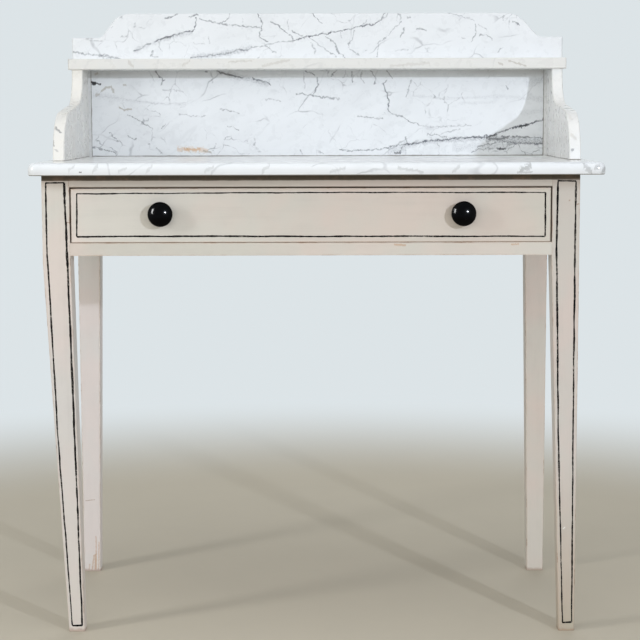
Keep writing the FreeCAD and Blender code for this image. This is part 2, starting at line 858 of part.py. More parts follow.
# The rim as it is before its rounding, which brings it down to the knob's diameter; the crown is wider.
rim_radius = f"(knob_diameter / 2 + knob_rim_radius * {rim_loss_share})"
crown_radius = f"max(knob_crown_radius; {rim_radius} * {crown_rim_share})"
rim_y = f"({crown_radius} - sqrt({crown_radius} ^ 2 - {rim_radius} ^ 2) - knob_projection)"


def knob_head(piece, axis_x):
    """A base, a short neck and a head that is domed in front and drawn in behind."""
    profile = drawing(piece, "profile", "XY_Plane")
    bore = "(knob_screw_shank / 2 + joint_gap)"
    bore_end = "-(knob_screw_reach + joint_gap)"
    radii_and_depths = [
        ("0", "-knob_projection"),
        (rim_radius, rim_y),
        ("knob_neck / 2", "-knob_neck_height"),
        ("knob_neck / 2", "-knob_base_height"),
        ("knob_base / 2", "-knob_base_height"),
        ("knob_base / 2", "0"),
        (bore, "0"),
        (bore, bore_end),
        ("0", bore_end),
    ]
    corners = [(f"{axis_x} + {radius}", depth) for radius, depth in radii_and_depths]
    sides = outline(profile, corners, arcs={0: crown_radius})
    return turned(piece, profile, axis_on(profile, sides[-1]))


def drawer_knobs():
    piece = new_piece("drawer_knobs", knob_spot)
    for side in (-1, 1):
        heads = knob_head(piece, f"{side} * knob_spacing / 2")
    rounded(piece, heads, "knob_rim_radius", lambda middle: near(middle.y, rim_y))


def knob_washers():
    piece = new_piece("knob_washers", knob_spot)
    ring = drawing(piece, "ring", "XZ_Plane", "-drawer_front_thickness")
    circle(ring, "knob_spacing / 2", "0", "washer_diameter")
    circle(ring, "knob_spacing / 2", "0", "knob_screw_shank + 2 * joint_gap")
    repeat(piece, pad(piece, ring, "washer_thickness", against=True), mirrored=True)


def knob_screws():
    piece = new_piece("knob_screws", knob_spot)
    profile = drawing(piece, "profile", "XY_Plane")
    axis_x = "knob_spacing / 2"
    seat_y = "drawer_front_thickness + washer_thickness"
    sides = outline(
        profile,
        [
            (axis_x, f"{seat_y} + knob_screw_head_height"),
            (axis_x, "-knob_screw_reach"),
            (f"{axis_x} + knob_screw_shank / 2", "-knob_screw_reach"),
            (f"{axis_x} + knob_screw_shank / 2", seat_y),
            (f"{axis_x} + knob_screw_head / 2", seat_y),
            (f"{axis_x} + knob_screw_head / 2", f"{seat_y} + knob_screw_head_height"),
        ],
    )
    repeat(piece, turned(piece, profile, axis_on(profile, sides[0])), mirrored=True)


drawer_knobs()
knob_washers()
knob_screws()


# Marble


def back_pin_places():
    return [(f"{half_back} * {share}", "-back_thickness / 2") for share in back_pin_shares]


def cheek_pin_places(side):
    return [
        (f"{side} * {cheek_mid_x}", f"-back_thickness - cheek_depth * {share}")
        for share in cheek_pin_shares
    ]


def shelf_pin_place(side):
    return (f"{side} * {cheek_mid_x}", "-back_thickness - cheek_neck_depth / 2")


def pin_holes(piece, places, height, upward):
    sketch = drawing(piece, "pin_holes", "XY_Plane", height)
    for x, y in places:
        square(sketch, x, y, "pin_width + 2 * joint_gap")
    pocket(piece, sketch, "pin_depth + joint_gap", along=upward)


def marble_top():
    """A slab with round front corners and a large round on the upper edge of the front and both ends."""
    piece = new_piece("marble_top", marble_spot)
    plan = drawing(piece, "plan", "XY_Plane", "-slab_thickness")
    left, right, front = f"-{slab_width} / 2", f"{slab_width} / 2", f"-{slab_depth}"
    corner = "slab_corner_radius"
    outline(plan, [(left, front, corner), (right, front, corner), (right, "0"), (left, "0")])
    slab = pad(piece, plan, "slab_thickness")

    def shown(middle, height):
        return near(middle.z, height) and not near(middle.y, "0")

    ovolo = rounded(piece, slab, "ovolo_radius", lambda middle: shown(middle, "0"))
    bevelled(piece, ovolo, "slab_arris", lambda middle: shown(middle, "-slab_thickness"))
    places = back_pin_places() + cheek_pin_places(-1) + cheek_pin_places(1)
    pin_holes(piece, places, "0", upward=False)


def shoulder(side):
    """One end of the back, going up: its foot, its flat, and the hollow and the round to the top."""
    return [
        (half_back, "0"),
        (half_back, "shoulder_height"),
        (f"{half_back} - {side}_flat", "shoulder_height", f"{side}_hollow_radius"),
        (f"{half_back} - {side}_flat - {side}_run", "back_height", f"{side}_round_radius"),
    ]


def marble_back():
    """An upright slab whose two shoulders rise to the top, the left one more steeply."""
    piece = new_piece("marble_back", marble_spot)
    face = drawing(piece, "face", "XZ_Plane")
    left_side = [(signed(-1, f"({corner[0]})"), *corner[1:]) for corner in reversed(shoulder("left"))]
    outline(face, shoulder("right") + left_side)
    slab = pad(piece, face, "back_thickness")

    def front_edge(middle):
        return near(middle.y, "-back_thickness") and not near(middle.z, "0")

    bevelled(piece, slab, "marble_arris", front_edge)
    pin_holes(piece, back_pin_places(), "0", upward=True)


# Each round of a cheek leaves a little of the upright it starts from.
cheek_run = "(cheek_depth - cheek_neck_depth)"
cheek_rise = "(cheek_rise_height - cheek_front_height)"
cheek_slope = f"sqrt({cheek_run} ^ 2 + {cheek_rise} ^ 2)"
most_round = f"{round_wall_share} * {cheek_run} / ({cheek_slope} - {cheek_rise})"
front_round = f"min(cheek_round_radius; cheek_front_height * {most_round})"
neck_hollow = f"min(cheek_hollow_radius; (cheek_height - cheek_rise_height) * {most_round})"


def marble_cheek(label, side):
    """A side piece whose front edge rises, turns back in a round and climbs out of a hollow."""
    piece = new_piece(label, marble_spot)
    face = drawing(piece, "face", "YZ_Plane", signed(side, cheek_outer_x))
    front, neck = "-back_thickness - cheek_depth", "-back_thickness - cheek_neck_depth"
    outline(
        face,
        [
            ("-back_thickness", "0"),
            (front, "0"),
            (front, "cheek_front_height", front_round),
            (neck, "cheek_rise_height", neck_hollow),
            (neck, "cheek_height"),
            ("-back_thickness", "cheek_height"),
        ],
    )
    slab = pad(piece, face, "cheek_thickness", against=side > 0)

    def front_edge(middle):
        on_face = near(abs(middle.x), cheek_outer_x) or near(abs(middle.x), cheek_inner_x)
        level = near(middle.z, "0") or near(middle.z, "cheek_height")
        return on_face and not level and not near(middle.y, "-back_thickness")

    bevelled(piece, slab, "marble_arris", front_edge)
    pin_holes(piece, cheek_pin_places(side), "0", upward=True)
    pin_holes(piece, [shelf_pin_place(side)], "cheek_height", upward=False)


def marble_shelf():
    piece = new_piece("marble_shelf", moved(marble_spot, z="cheek_height"))
    plan = drawing(piece, "plan", "XY_Plane")
    back, front = "-back_thickness", "-back_thickness - shelf_depth"
    rectangle(plan, f"-{half_shelf}", half_shelf, front, back)
    slab = pad(piece, plan, "shelf_thickness")
    bevelled(piece, slab, "marble_arris", lambda middle: near(middle.y, front))
    pin_holes(piece, [shelf_pin_place(-1), shelf_pin_place(1)], "0", upward=True)


def plaster_fillets():
    """The bead in the upright corner between each cheek and the back."""
    piece = new_piece("plaster_fillets", marble_spot)
    plan = drawing(piece, "plan", "XY_Plane")
    corner = (cheek_inner_x, "-back_thickness")
    along_back = (f"{corner[0]} - plaster_leg", corner[1])
    along_cheek = (corner[0], f"{corner[1]} - plaster_leg")
    outline(plan, [corner, along_back, along_cheek])
    repeat(piece, pad(piece, plan, "cheek_height"), mirrored=True)


def marble_pins():
    """Upright square pins, half in the lower piece and half in the upper one."""
    low = [(place, "0") for place in back_pin_places() + cheek_pin_places(-1) + cheek_pin_places(1)]
    high = [(shelf_pin_place(side), "cheek_height") for side in (-1, 1)]
    pins = []
    for (x, y), joint_z in low + high:
        pin = doc.addObject("Part::Box", "pin")
        pin.setExpression("Length", bound("pin_width"))
        pin.setExpression("Width", bound("pin_width"))
        pin.setExpression("Height", bound("2 * pin_depth"))
        spot = moved(marble_spot, f"{x} - pin_width / 2", f"{y} - pin_width / 2", f"{joint_z} - pin_depth")
        for axis, text in zip("xyz", spot):
            pin.setExpression(f"Placement.Base.{axis}", bound(text))
        pins.append(pin)
    group = doc.addObject("Part::Compound", "marble_pins")
    group.Links = pins
    pieces.append(group)


marble_top()
marble_back()
marble_cheek("marble_cheek_left", -1)
marble_cheek("marble_cheek_right", 1)
marble_shelf()
plaster_fillets()
marble_pins()

doc.recompute()
for item in doc.Objects:
    if "Invalid" in item.State or "Error" in item.State:
        raise RuntimeError(f"{item.Label} failed: {item.State}")
for cut in cuts:
    if cut.BaseFeature.Shape.Volume <= cut.Shape.Volume:
        raise RuntimeError(f"{cut.Label} of {cut.getParentGeoFeatureGroup().Label} cuts nothing")
for piece in pieces:
    if piece.Shape.isNull() or not piece.Shape.isValid():
        raise RuntimeError(f"{piece.Label} has no valid shape")
for piece in pieces:
    piece.Shape.exportStep(f"parts/{piece.Label}.step")
    print(f"{piece.Label}: {len(piece.Shape.Solids)} solid, {piece.Shape.Volume:.0f} mm3")
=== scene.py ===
import math

import bpy
import numpy as np
from mathutils import Matrix, Vector


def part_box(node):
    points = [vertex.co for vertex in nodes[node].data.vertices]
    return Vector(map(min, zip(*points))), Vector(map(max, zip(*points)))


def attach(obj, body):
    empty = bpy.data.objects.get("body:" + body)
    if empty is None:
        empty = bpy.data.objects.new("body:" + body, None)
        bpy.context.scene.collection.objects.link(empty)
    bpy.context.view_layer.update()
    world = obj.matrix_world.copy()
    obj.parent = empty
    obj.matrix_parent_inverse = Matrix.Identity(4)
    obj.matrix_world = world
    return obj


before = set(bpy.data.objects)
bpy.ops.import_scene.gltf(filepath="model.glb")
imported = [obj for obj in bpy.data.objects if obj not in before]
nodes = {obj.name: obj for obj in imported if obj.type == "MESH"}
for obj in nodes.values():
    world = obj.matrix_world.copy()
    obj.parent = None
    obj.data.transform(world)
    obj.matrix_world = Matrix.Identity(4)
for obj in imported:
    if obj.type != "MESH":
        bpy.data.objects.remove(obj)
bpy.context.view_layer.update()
mm = 1000  # millimetres in a metre
print("loaded", len(nodes), "pieces of the washstand")


# the camera, fitted to the picture
viewer = {
    "eye": (0.01235, -3.09076, 0.84125),
    "pitchDown": 6.507,
    "yaw": -0.15,
    "roll": -0.154,
    "lens": 101.655,
    "sensor": 36.0,
    "pixels": 640,
    "farthest": 200,
}


def viewAxes():
    # right, up and forward of a camera that is yawed, then tipped down, then rolled
    p, w, r = (math.radians(viewer[k]) for k in ("pitchDown", "yaw", "roll"))
    forward = Vector((math.sin(w) * math.cos(p), math.cos(w) * math.cos(p), -math.sin(p)))
    level = Vector((math.cos(w), -math.sin(w), 0))
    rise = level.cross(forward)
    right = math.cos(r) * level + math.sin(r) * rise
    up = math.cos(r) * rise - math.sin(r) * level
    return right, up, forward


def onPlane(pixels, y):
    # where the lines of sight through these pixels cross the upright plane at this y: x and z in metres
    right, up, forward = (np.array(a) for a in viewAxes())
    eye = np.array(viewer["eye"])
    focal = viewer["pixels"] * viewer["lens"] / viewer["sensor"]
    uv = (np.asarray(pixels, float) - viewer["pixels"] / 2) / focal
    rays = forward + uv[:, :1] * right - uv[:, 1:] * up
    hits = eye + rays * ((y - eye[1]) / rays[:, 1:2])
    return hits[:, [0, 2]]


def addCamera():
    right, up, forward = viewAxes()
    lens = bpy.data.cameras.new("camera")
    lens.lens, lens.sensor_width = viewer["lens"], viewer["sensor"]
    lens.clip_end = viewer["farthest"]
    eye = bpy.data.objects.new("camera", lens)
    turn = Matrix((right, up, -forward)).transposed().to_4x4()
    eye.matrix_world = Matrix.Translation(viewer["eye"]) @ turn
    bpy.context.scene.collection.objects.link(eye)
    bpy.context.scene.camera = eye


addCamera()
print("camera set")


class Sock:
    # one output of a shader node; sums, products and powers of it add Math nodes
    def __init__(self, finish, socket):
        self.finish, self.socket = finish, socket

    def math(self, operation, *others):
        return self.finish.node("ShaderNodeMath", {"operation": operation}, [self, *others])

    def other(self, name):
        return Sock(self.finish, self.socket.node.outputs[name])

    def scaled(self, factor, offset):
        return self.math("MULTIPLY_ADD", float(factor), float(offset))

    def __add__(self, value):
        return self.math("ADD", value)

    def __sub__(self, value):
        return self.math("SUBTRACT", value)

    def __rsub__(self, value):
        return self.finish.node("ShaderNodeMath", {"operation": "SUBTRACT"}, [value, self])

    def __mul__(self, value):
        return self.math("MULTIPLY", value)

    def __truediv__(self, value):
        return self.math("DIVIDE", value)

    def __rtruediv__(self, value):
        return self.finish.node("ShaderNodeMath", {"operation": "DIVIDE"}, [value, self])

    def __pow__(self, value):
        return self.math("POWER", value)

    def __abs__(self):
        return self.math("ABSOLUTE")

    __radd__ = __add__
    __rmul__ = __mul__


class Finish:
    # one material: its nodes, and the shader that they end in
    def __init__(self, name, **constants):
        self.material = bpy.data.materials.new(name)
        self.material.use_nodes = True
        self.tree = self.material.node_tree
        self.shader = self.tree.nodes["Principled BSDF"]
        for socket, value in constants.items():
            self.shader.inputs[socket.replace("_", " ")].default_value = value
        self.place = self.node("ShaderNodeTexCoord", out="Object")
        split = self.node("ShaderNodeSeparateXYZ", {}, [self.place])
        self.x, self.y, self.z = split, split.other("Y"), split.other("Z")

    def node(self, kind, settings=None, values=(), out=0):
        made = self.tree.nodes.new(kind)
        for key, value in (settings or {}).items():
            if key == "stops":
                setStops(made.color_ramp, value)
            elif key == "curve":
                setCurve(made.mapping, value)
            else:
                setattr(made, key, value)
        for key, value in values.items() if isinstance(values, dict) else enumerate(values):
            if isinstance(value, Sock):
                self.tree.links.new(value.socket, made.inputs[key])
            elif hasattr(value, "__len__") and len(made.inputs[key].default_value) > len(value):
                made.inputs[key].default_value = (*value, 1)  # a colour's alpha
            else:
                made.inputs[key].default_value = value
        return Sock(self, made.outputs[out])

    def noise(self, scale, detail=3, rough=0.5, at=None):
        values = {"Vector": at or self.place, "Scale": scale, "Detail": detail, "Roughness": rough}
        return self.node("ShaderNodeTexNoise", {}, values, "Fac")

    def mapped(self, scale=(1, 1, 1), shift=(0, 0, 0), turn=(0, 0, 0), at=None):
        turn = [math.radians(a) for a in turn]
        values = {"Vector": at or self.place, "Scale": scale, "Location": shift, "Rotation": turn}
        return self.node("ShaderNodeMapping", {}, values)

    def warped(self, reach, scale, detail=2, at=None):
        # the place pushed about by a noise, up to about half of reach each way
        at = at or self.place
        values = {"Vector": at, "Scale": scale, "Detail": detail}
        push = self.node("ShaderNodeTexNoise", {}, values, "Color")
        push = self.node("ShaderNodeVectorMath", {"operation": "SUBTRACT"}, [push, (0.5, 0.5, 0.5)])
        return self.node("ShaderNodeVectorMath", {"operation": "MULTIPLY_ADD"}, [push, (reach,) * 3, at])

    def step(self, value, low, high, top=1.0):
        # a smooth rise from 0 at low to top at high, and a fall where low is the larger
        settings = {"interpolation_type": "SMOOTHSTEP", "clamp": False}
        values = {"Value": value, "From Min": low, "From Max": high, "To Max": top}
        return self.node("ShaderNodeMapRange", settings, values, "Result")

    def mix(self, under, over, amount, blend="MIX"):
        settings = {"data_type": "RGBA", "blend_type": blend}
        return self.node("ShaderNodeMix", settings, {0: amount, 6: under, 7: over}, 2)

    def bump(self, height, distance, strength=1.0):
        values = {"Height": height, "Distance": distance, "Strength": strength}
        return self.node("ShaderNodeBump", {}, values)

    def feed(self, **sockets):
        for socket, value in sockets.items():
            self.tree.links.new(value.socket, self.shader.inputs[socket.replace("_", " ")])
        return self.material


def setStops(ramp, stops):
    # the first two stops are there already
    for i, (spot, color) in enumerate(stops):
        stop = ramp.elements[i] if i < 2 else ramp.elements.new(spot)
        stop.position, stop.color = spot, (*color, 1)


def setCurve(mapping, points):
    # the first and last points are there already, and move out before the others come between them
    mapping.use_clip = False
    line = mapping.curves[0].points
    line[0].location, line[1].location = points[0], points[-1]
    for spot, value in points[1:-1]:
        line.new(spot, value)
    for point in line:
        point.handle_type = "VECTOR"
    mapping.update()


def cover(node, material):
    nodes[node].data.materials.clear()
    nodes[node].data.materials.append(material)


def drawnMark(f, across, along, line, half, strength, tight):
    # a mark whose middle is a line of straight runs over one axis, its width set by a noise;
    # just past both ends the line leaves the object
    gap, away = 0.0004, 9.0
    start, length = line[0, 0] - gap, line[-1, 0] - line[0, 0] + 2 * gap
    inner = [((a - start) / length, b) for a, b in line]
    points = [(0, line[0, 1] + away), *inner, (1, line[-1, 1] + away)]
    share = along.scaled(1 / length, -start / length)
    middle = f.node("ShaderNodeFloatCurve", {"curve": points}, [1.0, share])
    runs = np.diff(line, axis=0)
    reach = float(half * np.hypot(*runs.T).sum() / abs(runs[:, 0]).sum())
    fadesOut, full = 1.5 * reach, 0.4 * reach
    return f.step(abs(across - middle) * tight, fadesOut, full, strength)


def drawnMarks(f, marks, y, waver, pitch, broken=(1.8, 3.4, 0.8)):
    # marks drawn on the upright plane at y; each runs along x or z, whichever it covers more of,
    # and a noise widens and closes it: how fine that is, how strong, and how much it takes away
    at = f.warped(waver, pitch, 3)
    split = f.node("ShaderNodeSeparateXYZ", {}, [at])
    x, z = split, split.other("Z")
    fine, strong, less = broken
    tight = 1 / (f.noise(fine * pitch, 3, 0.65, at) * strong - less).math("MAXIMUM", 0.1)
    total = None
    for points, width, strength in marks.values():
        line = onPlane(points, y)
        across, along = z, x
        if np.ptp(line[:, 0]) < np.ptp(line[:, 1]):
            across, along, line = x, z, line[:, ::-1]
        line = line[np.argsort(line[:, 0])]
        half = width / 2 / mm
        mask = drawnMark(f, across, along, line, half, strength, tight)
        total = mask if total is None else total.math("MAXIMUM", mask)
    return total


# bare softwood, darkened with age
woodLook = {
    "light": (0.500, 0.345, 0.205),
    "dark": (0.300, 0.175, 0.090),
    "dust": (0.400, 0.320, 0.225),
    "ringWidth": 0.011,
    "ringLength": 0.35,
    "fibreWidth": 0.0006,
    "fibreLength": 0.03,
    "fibreDepth": 0.0002,
}
woodRuns = {
    "drawer_side_left": 1,
    "drawer_side_right": 1,
    "drawer_back": 0,
    "drawer_bottom": 0,
    "drawer_runner_left": 1,
    "drawer_runner_right": 1,
    "drawer_kicker_left": 1,
    "drawer_kicker_right": 1,
    "drawer_guide_left": 1,
    "drawer_guide_right": 1,
    "drawer_stops": 0,
    "glue_blocks": 0,
}


def bareWood(run):
    look = woodLook
    f = Finish("bare_wood_" + "xyz"[run])
    rings, fibres = [1 / look["ringWidth"]] * 3, [1 / look["fibreWidth"]] * 3
    rings[run], fibres[run] = 1 / look["ringLength"], 1 / look["fibreLength"]
    ring = f.noise(1, 2, 0.5, f.mapped(rings))
    late = f.step(abs(f.node("ShaderNodeMath", {"operation": "FRACT"}, [ring * 6]) - 0.5), 0.5, 0.1)
    fibre = f.noise(1, 3, 0.6, f.mapped(fibres))
    color = f.mix(look["light"], look["dark"], late * 0.55 + fibre * 0.25)
    color = f.mix(color, look["dust"], f.step(f.noise(12, 4, 0.6), 0.5, 0.75) * 0.5)
    rough = 0.62 + fibre * 0.2
    grain = f.bump(fibre + late * 0.5, look["fibreDepth"], 0.5)
    return f.feed(Base_Color=color, Roughness=rough, Normal=grain)


woods = [bareWood(run) for run in range(3)]
for node, run in woodRuns.items():
    cover(node, woods[run])
print("bare wood on", len(woodRuns), "pieces")


# old warm off-white paint: brush marks, faint blotches, wear on the edges,
# unpainted wood and painted shade under the slab
paintLook = {
    "cream": (0.640, 0.594, 0.530),
    "pink": (0.668, 0.580, 0.518),
    "straw": (0.606, 0.590, 0.528),
    "rubbed": (0.560, 0.440, 0.350),
    "worn": (0.300, 0.165, 0.095),
    # unpainted wood, dark enough to serve also as painted shade under the slab and in the drawer's gaps
    "bare": (0.062, 0.040, 0.017),
    # painted shade below the slab
    "underSlabShade": (0.360, 0.290, 0.235),
    "rust": (0.500, 0.270, 0.120),
    "chip": (0.760, 0.750, 0.720),
    "brushWidth": 0.0011,
    "brushLength": 0.09,
    "brushDepth": 0.00016,
    "bandScale": 60.0,
    "bandRunScale": 5.0,
    "rubReach": 0.0032,
    "wearReach": 0.0015,
    "leastWear": 0.00005,
    "markWaver": (0.0008, 300),
    "roughness": 0.48,
}
# where the paint ends, is dirty or carries painted shade;
# a pair is where a mark fades out and where it is at its full strength
paintEnds = {
    "legHead": 0.65,
    "legFoot": 0.01,
    "taperDrop": 0.01,
    "footDirt": (0.006, 0.001),
    "footWaver": 0.02,
    "railFootWearAndShade": (0.0016, 0.0006),
    "stripDrop": 0.0088,
    "stripWaver": 0.0016,
    "stripEdge": (-0.0003, 0.0003),
    # how far below the strip the painted shade of the slab reaches
    "underSlabShadeReach": (-0.020, 0.0),
    "drawerFray": 0.0012,
    "drawerFoot": (0.0012, 0.0004),
    "drawerTop": (0.007, 0.0),
    "drawerWearAndGapShade": (0.0018, 0.0008),
    "drawerWearAndGapShadeDepth": (0.0035, 0.0015),
    "drawerInside": (0.0045, 0.0055),
}
paintRuns = {
    "leg_front_left": 2,
    "leg_front_right": 2,
    "leg_back_left": 2,
    "leg_back_right": 2,
    "top_front_rail": 0,
    "bottom_front_rail": 0,
    "drawer_front": 0,
    "back_apron": 0,
    "side_apron_left": 1,
    "side_apron_right": 1,
}
# how the paint's tone changes along x (0) or z (2), from the piece's low end to its high end;
# partly its own tone, partly painted light and shade, as in the lighter back legs and a drawer front lighter
# at its left
paintToneAndShade = {
    "leg_front_left": (2, [(0.0, (1.12, 1.08, 1.12)), (0.5, (1.06, 1.06, 1.13)), (1.0, (1.04, 1.07, 1.08))]),
    "leg_front_right": (2, [(0.0, (0.74, 0.72, 0.64)), (0.4, (0.97, 0.97, 1.00)), (1.0, (0.90, 0.87, 0.87))]),
    "leg_back_left": (2, [(0.0, (1.17, 1.23, 1.34)), (1.0, (1.16, 1.21, 1.32))]),
    "leg_back_right": (2, [(0.0, (1.11, 1.09, 1.10)), (1.0, (1.11, 1.09, 1.10))]),
    "drawer_front": (0, [(0.0, (1.09, 1.09, 1.11)), (0.5, (0.98, 0.97, 0.97)), (1.0, (0.95, 0.93, 0.91))]),
}
# single marks seen on the paint: points in pixels of the picture, width in millimetres, strength
paintMarks = {
    "leg_front_left": {"worn": {"crack": ([(65.5, 222.3), (70.2, 222.8)], 1.4, 0.8)}},
    "leg_front_right": {
        "worn": {
            "dash": ([(576.6, 204.2), (579.4, 203.8)], 1.6, 0.9),
            "spot": ([(568.8, 200.6), (570.4, 200.2)], 2.2, 0.6),
        },
        "chip": {"low": ([(562.8, 528.5), (565.2, 527.6)], 2.6, 0.9)},
    },
    "bottom_front_rail": {
        "rust": {
            "middle": ([(394, 244.6), (406, 245.2)], 3.2, 0.55),
            "right": ([(511, 244.4), (519, 244.0)], 3.0, 0.5),
        },
    },
    "leg_back_left": {
        "worn": {"scratch": ([(85, 501.6), (94.5, 500.6)], 1.6, 0.55)},
        "rust": {
            "streakA": ([(95.4, 537), (96.0, 571)], 2.4, 0.45),
            "streakACore": ([(95.2, 555), (94.6, 571)], 3.6, 0.62),
            "streakB": ([(98.4, 543), (98.0, 571)], 2.0, 0.52),
            "streakC": ([(93.6, 556), (91.6, 571)], 2.8, 0.50),
            "streakD": ([(89.2, 565), (88.6, 571)], 2.8, 0.35),
        },
    },
}


def legSides(node):
    # the lowest and highest corner of a leg's head, then of its foot
    spots = np.array([v.co for v in nodes[node].data.vertices])
    head, foot = spots[spots[:, 2] > paintEnds["legHead"]], spots[spots[:, 2] < paintEnds["legFoot"]]
    return head.min(0), head.max(0), foot.min(0), foot.max(0)


def edgeGap(f, node):
    # the distance to the nearest edge: the middle one of the three distances to the sides
    lows, highs = (list(corner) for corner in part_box(node))
    if node.startswith("leg"):
        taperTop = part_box("bottom_front_rail")[0].z - paintEnds["taperDrop"]
        down = f.z.scaled(-1 / taperTop, 1).math("MAXIMUM", 0.0)
        headLow, headHigh, footLow, footHigh = legSides(node)
        for i in (0, 1):
            lows[i] = down * float(footLow[i] - headLow[i]) + float(headLow[i])
            highs[i] = down * float(footHigh[i] - headHigh[i]) + float(headHigh[i])
    a, b, c = ((s - lo).math("MINIMUM", hi - s) for s, lo, hi in zip((f.x, f.y, f.z), lows, highs))
    return a.math("MINIMUM", b).math("MAXIMUM", a.math("MAXIMUM", b).math("MINIMUM", c))


def paintGround(f, node, brush, bands):
    # cream with straw and pink blotches, shaded by the brush, its tone changing along some pieces, partly as
    # painted light and shade
    look = paintLook
    color = f.mix(look["straw"], look["pink"], f.step(f.noise(7, 3, 0.55), 0.35, 0.65))
    color = f.mix(look["cream"], color, 0.75)
    shade = bands * 0.16 + brush * 0.06 + f.noise(30, 3, 0.6) * 0.10 + 0.84
    color = f.mix((0, 0, 0), color, shade)
    # the tone ramp along the piece: partly painted light and shade
    if node in paintToneAndShade:
        axis, stops = paintToneAndShade[node]
        low, high = (c[axis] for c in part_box(node))
        spot = (f.x, f.y, f.z)[axis].scaled(1 / (high - low), -low / (high - low))
        tone = f.node("ShaderNodeValToRGB", {"stops": stops}, [spot], "Color")
        color = f.mix(color, tone, 1.0, "MULTIPLY")
    return color


def drawerEdges(f, color, wear, grit, inner):
    # a brown line along the drawer front's foot, a dark one along its ends and barely along its top,
    # partly worn paint and partly painted shade of the gaps, and bare wood behind its painted face
    look, ends = paintLook, paintEnds
    low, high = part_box("drawer_front")
    fray = (grit - 0.5) * ends["drawerFray"]
    wear = wear.math("MAXIMUM", f.step(f.z - low.z + fray, *ends["drawerFoot"]) * 0.85)
    color = f.mix(color, look["rubbed"], f.step(high.z - f.z, *ends["drawerTop"]) * 0.35)
    # the dark line at the ends and top: partly worn paint, partly painted shade of the gaps
    edge = (f.x - low.x).math("MINIMUM", high.x - f.x)
    edge = edge.math("MINIMUM", high.z - f.z + ends["drawerWearAndGapShade"][0])
    dark = f.step(edge + fray, *ends["drawerWearAndGapShade"]) * f.step(f.y - low.y, *ends["drawerWearAndGapShadeDepth"]) * 0.9
    color = f.mix(color, look["worn"], wear)
    color = f.mix(color, look["bare"], dark)
    return f.mix(color, inner, f.step(f.y - low.y + fray, *ends["drawerInside"])), wear


def underSlab(f, color, patch):
    # the strip right under the slab, where no brush reached, dark enough to be painted shadow too,
    # and painted shade of the slab below it
    look, ends = paintLook, paintEnds
    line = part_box("top_front_rail")[1].z - ends["stripDrop"]
    line = line + (f.noise(35, 4, 0.6) - 0.5) * ends["stripWaver"]
    # painted shade of the slab's overhang, fading out downwards
    color = f.mix(color, look["underSlabShade"], f.step(f.z - line, *ends["underSlabShadeReach"]) * 0.55)
    # the strip itself: unpainted wood, darkened further as painted shadow
    strip = f.step(f.z - line, *ends["stripEdge"]) * 0.97
    return f.mix(color, f.mix(look["bare"], look["worn"], f.step(patch, 0.5, 0.75) * 0.3), strip)


def agedPaint(node, run):
    look = paintLook
    f = Finish("paint_" + node, Roughness=look["roughness"])
    # brush marks and broader bands along the piece
    streak = [1 / look["brushWidth"]] * 3
    streak[run] = 1 / look["brushLength"]
    brush = f.noise(1, 2, 0.6, f.mapped(streak))
    broad = [look["bandScale"]] * 3
    broad[run] = look["bandRunScale"]
    bands = f.noise(1, 3, 0.6, f.mapped(broad, (3, 1, 2)))
    color = paintGround(f, node, brush, bands)
    # edges rubbed thin, and worn through in places
    gap = edgeGap(f, node)
    patch = f.noise(28, 4, 0.65, f.mapped(shift=(5, 2, 7)))
    grit = f.noise(420, 3, 0.6)
    rub = f.step(gap, look["rubReach"], 0.0) * f.step(patch, 0.30, 0.62)
    color = f.mix(color, look["rubbed"], rub * 0.5)
    reach = f.step(patch, 0.47, 0.80) * look["wearReach"] * (0.4 + grit * 1.2)
    wear = f.step(gap / (reach + look["leastWear"]), 1.15, 0.75) * 0.75
    if node == "drawer_front":
        inner = f.mix(woodLook["light"], woodLook["dark"], bands * 0.7 + brush * 0.5)
        color, wear = drawerEdges(f, color, wear, grit, inner)
    else:
        color = f.mix(color, look["worn"], wear)
    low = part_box(node)[0]
    if node == "top_front_rail":
        # a dark line along the rail's foot, over the drawer's gap: partly worn paint, partly painted shade
        color = f.mix(color, look["bare"], f.step(f.z - low.z, *paintEnds["railFootWearAndShade"]) * 0.85)
    for tone, marks in paintMarks.get(node, {}).items():
        color = f.mix(color, look[tone], drawnMarks(f, marks, low.y, *look["markWaver"]))
    if node.startswith("leg"):
        foot = f.step(f.z + (patch - 0.5) * paintEnds["footWaver"], *paintEnds["footDirt"])
        color = f.mix(color, look["worn"], foot * 0.45)
    if node != "drawer_front":
        color = underSlab(f, color, patch)
    height = brush * 0.6 + bands * 0.4 - wear * 0.5
    rough = look["roughness"] + (brush - 0.5) * 0.16 + wear * 0.2
    return f.feed(Base_Color=color, Roughness=rough, Normal=f.bump(height, look["brushDepth"], 0.6))


for node, run in paintRuns.items():
    cover(node, agedPaint(node, run))
print("paint on", len(paintRuns), "pieces")


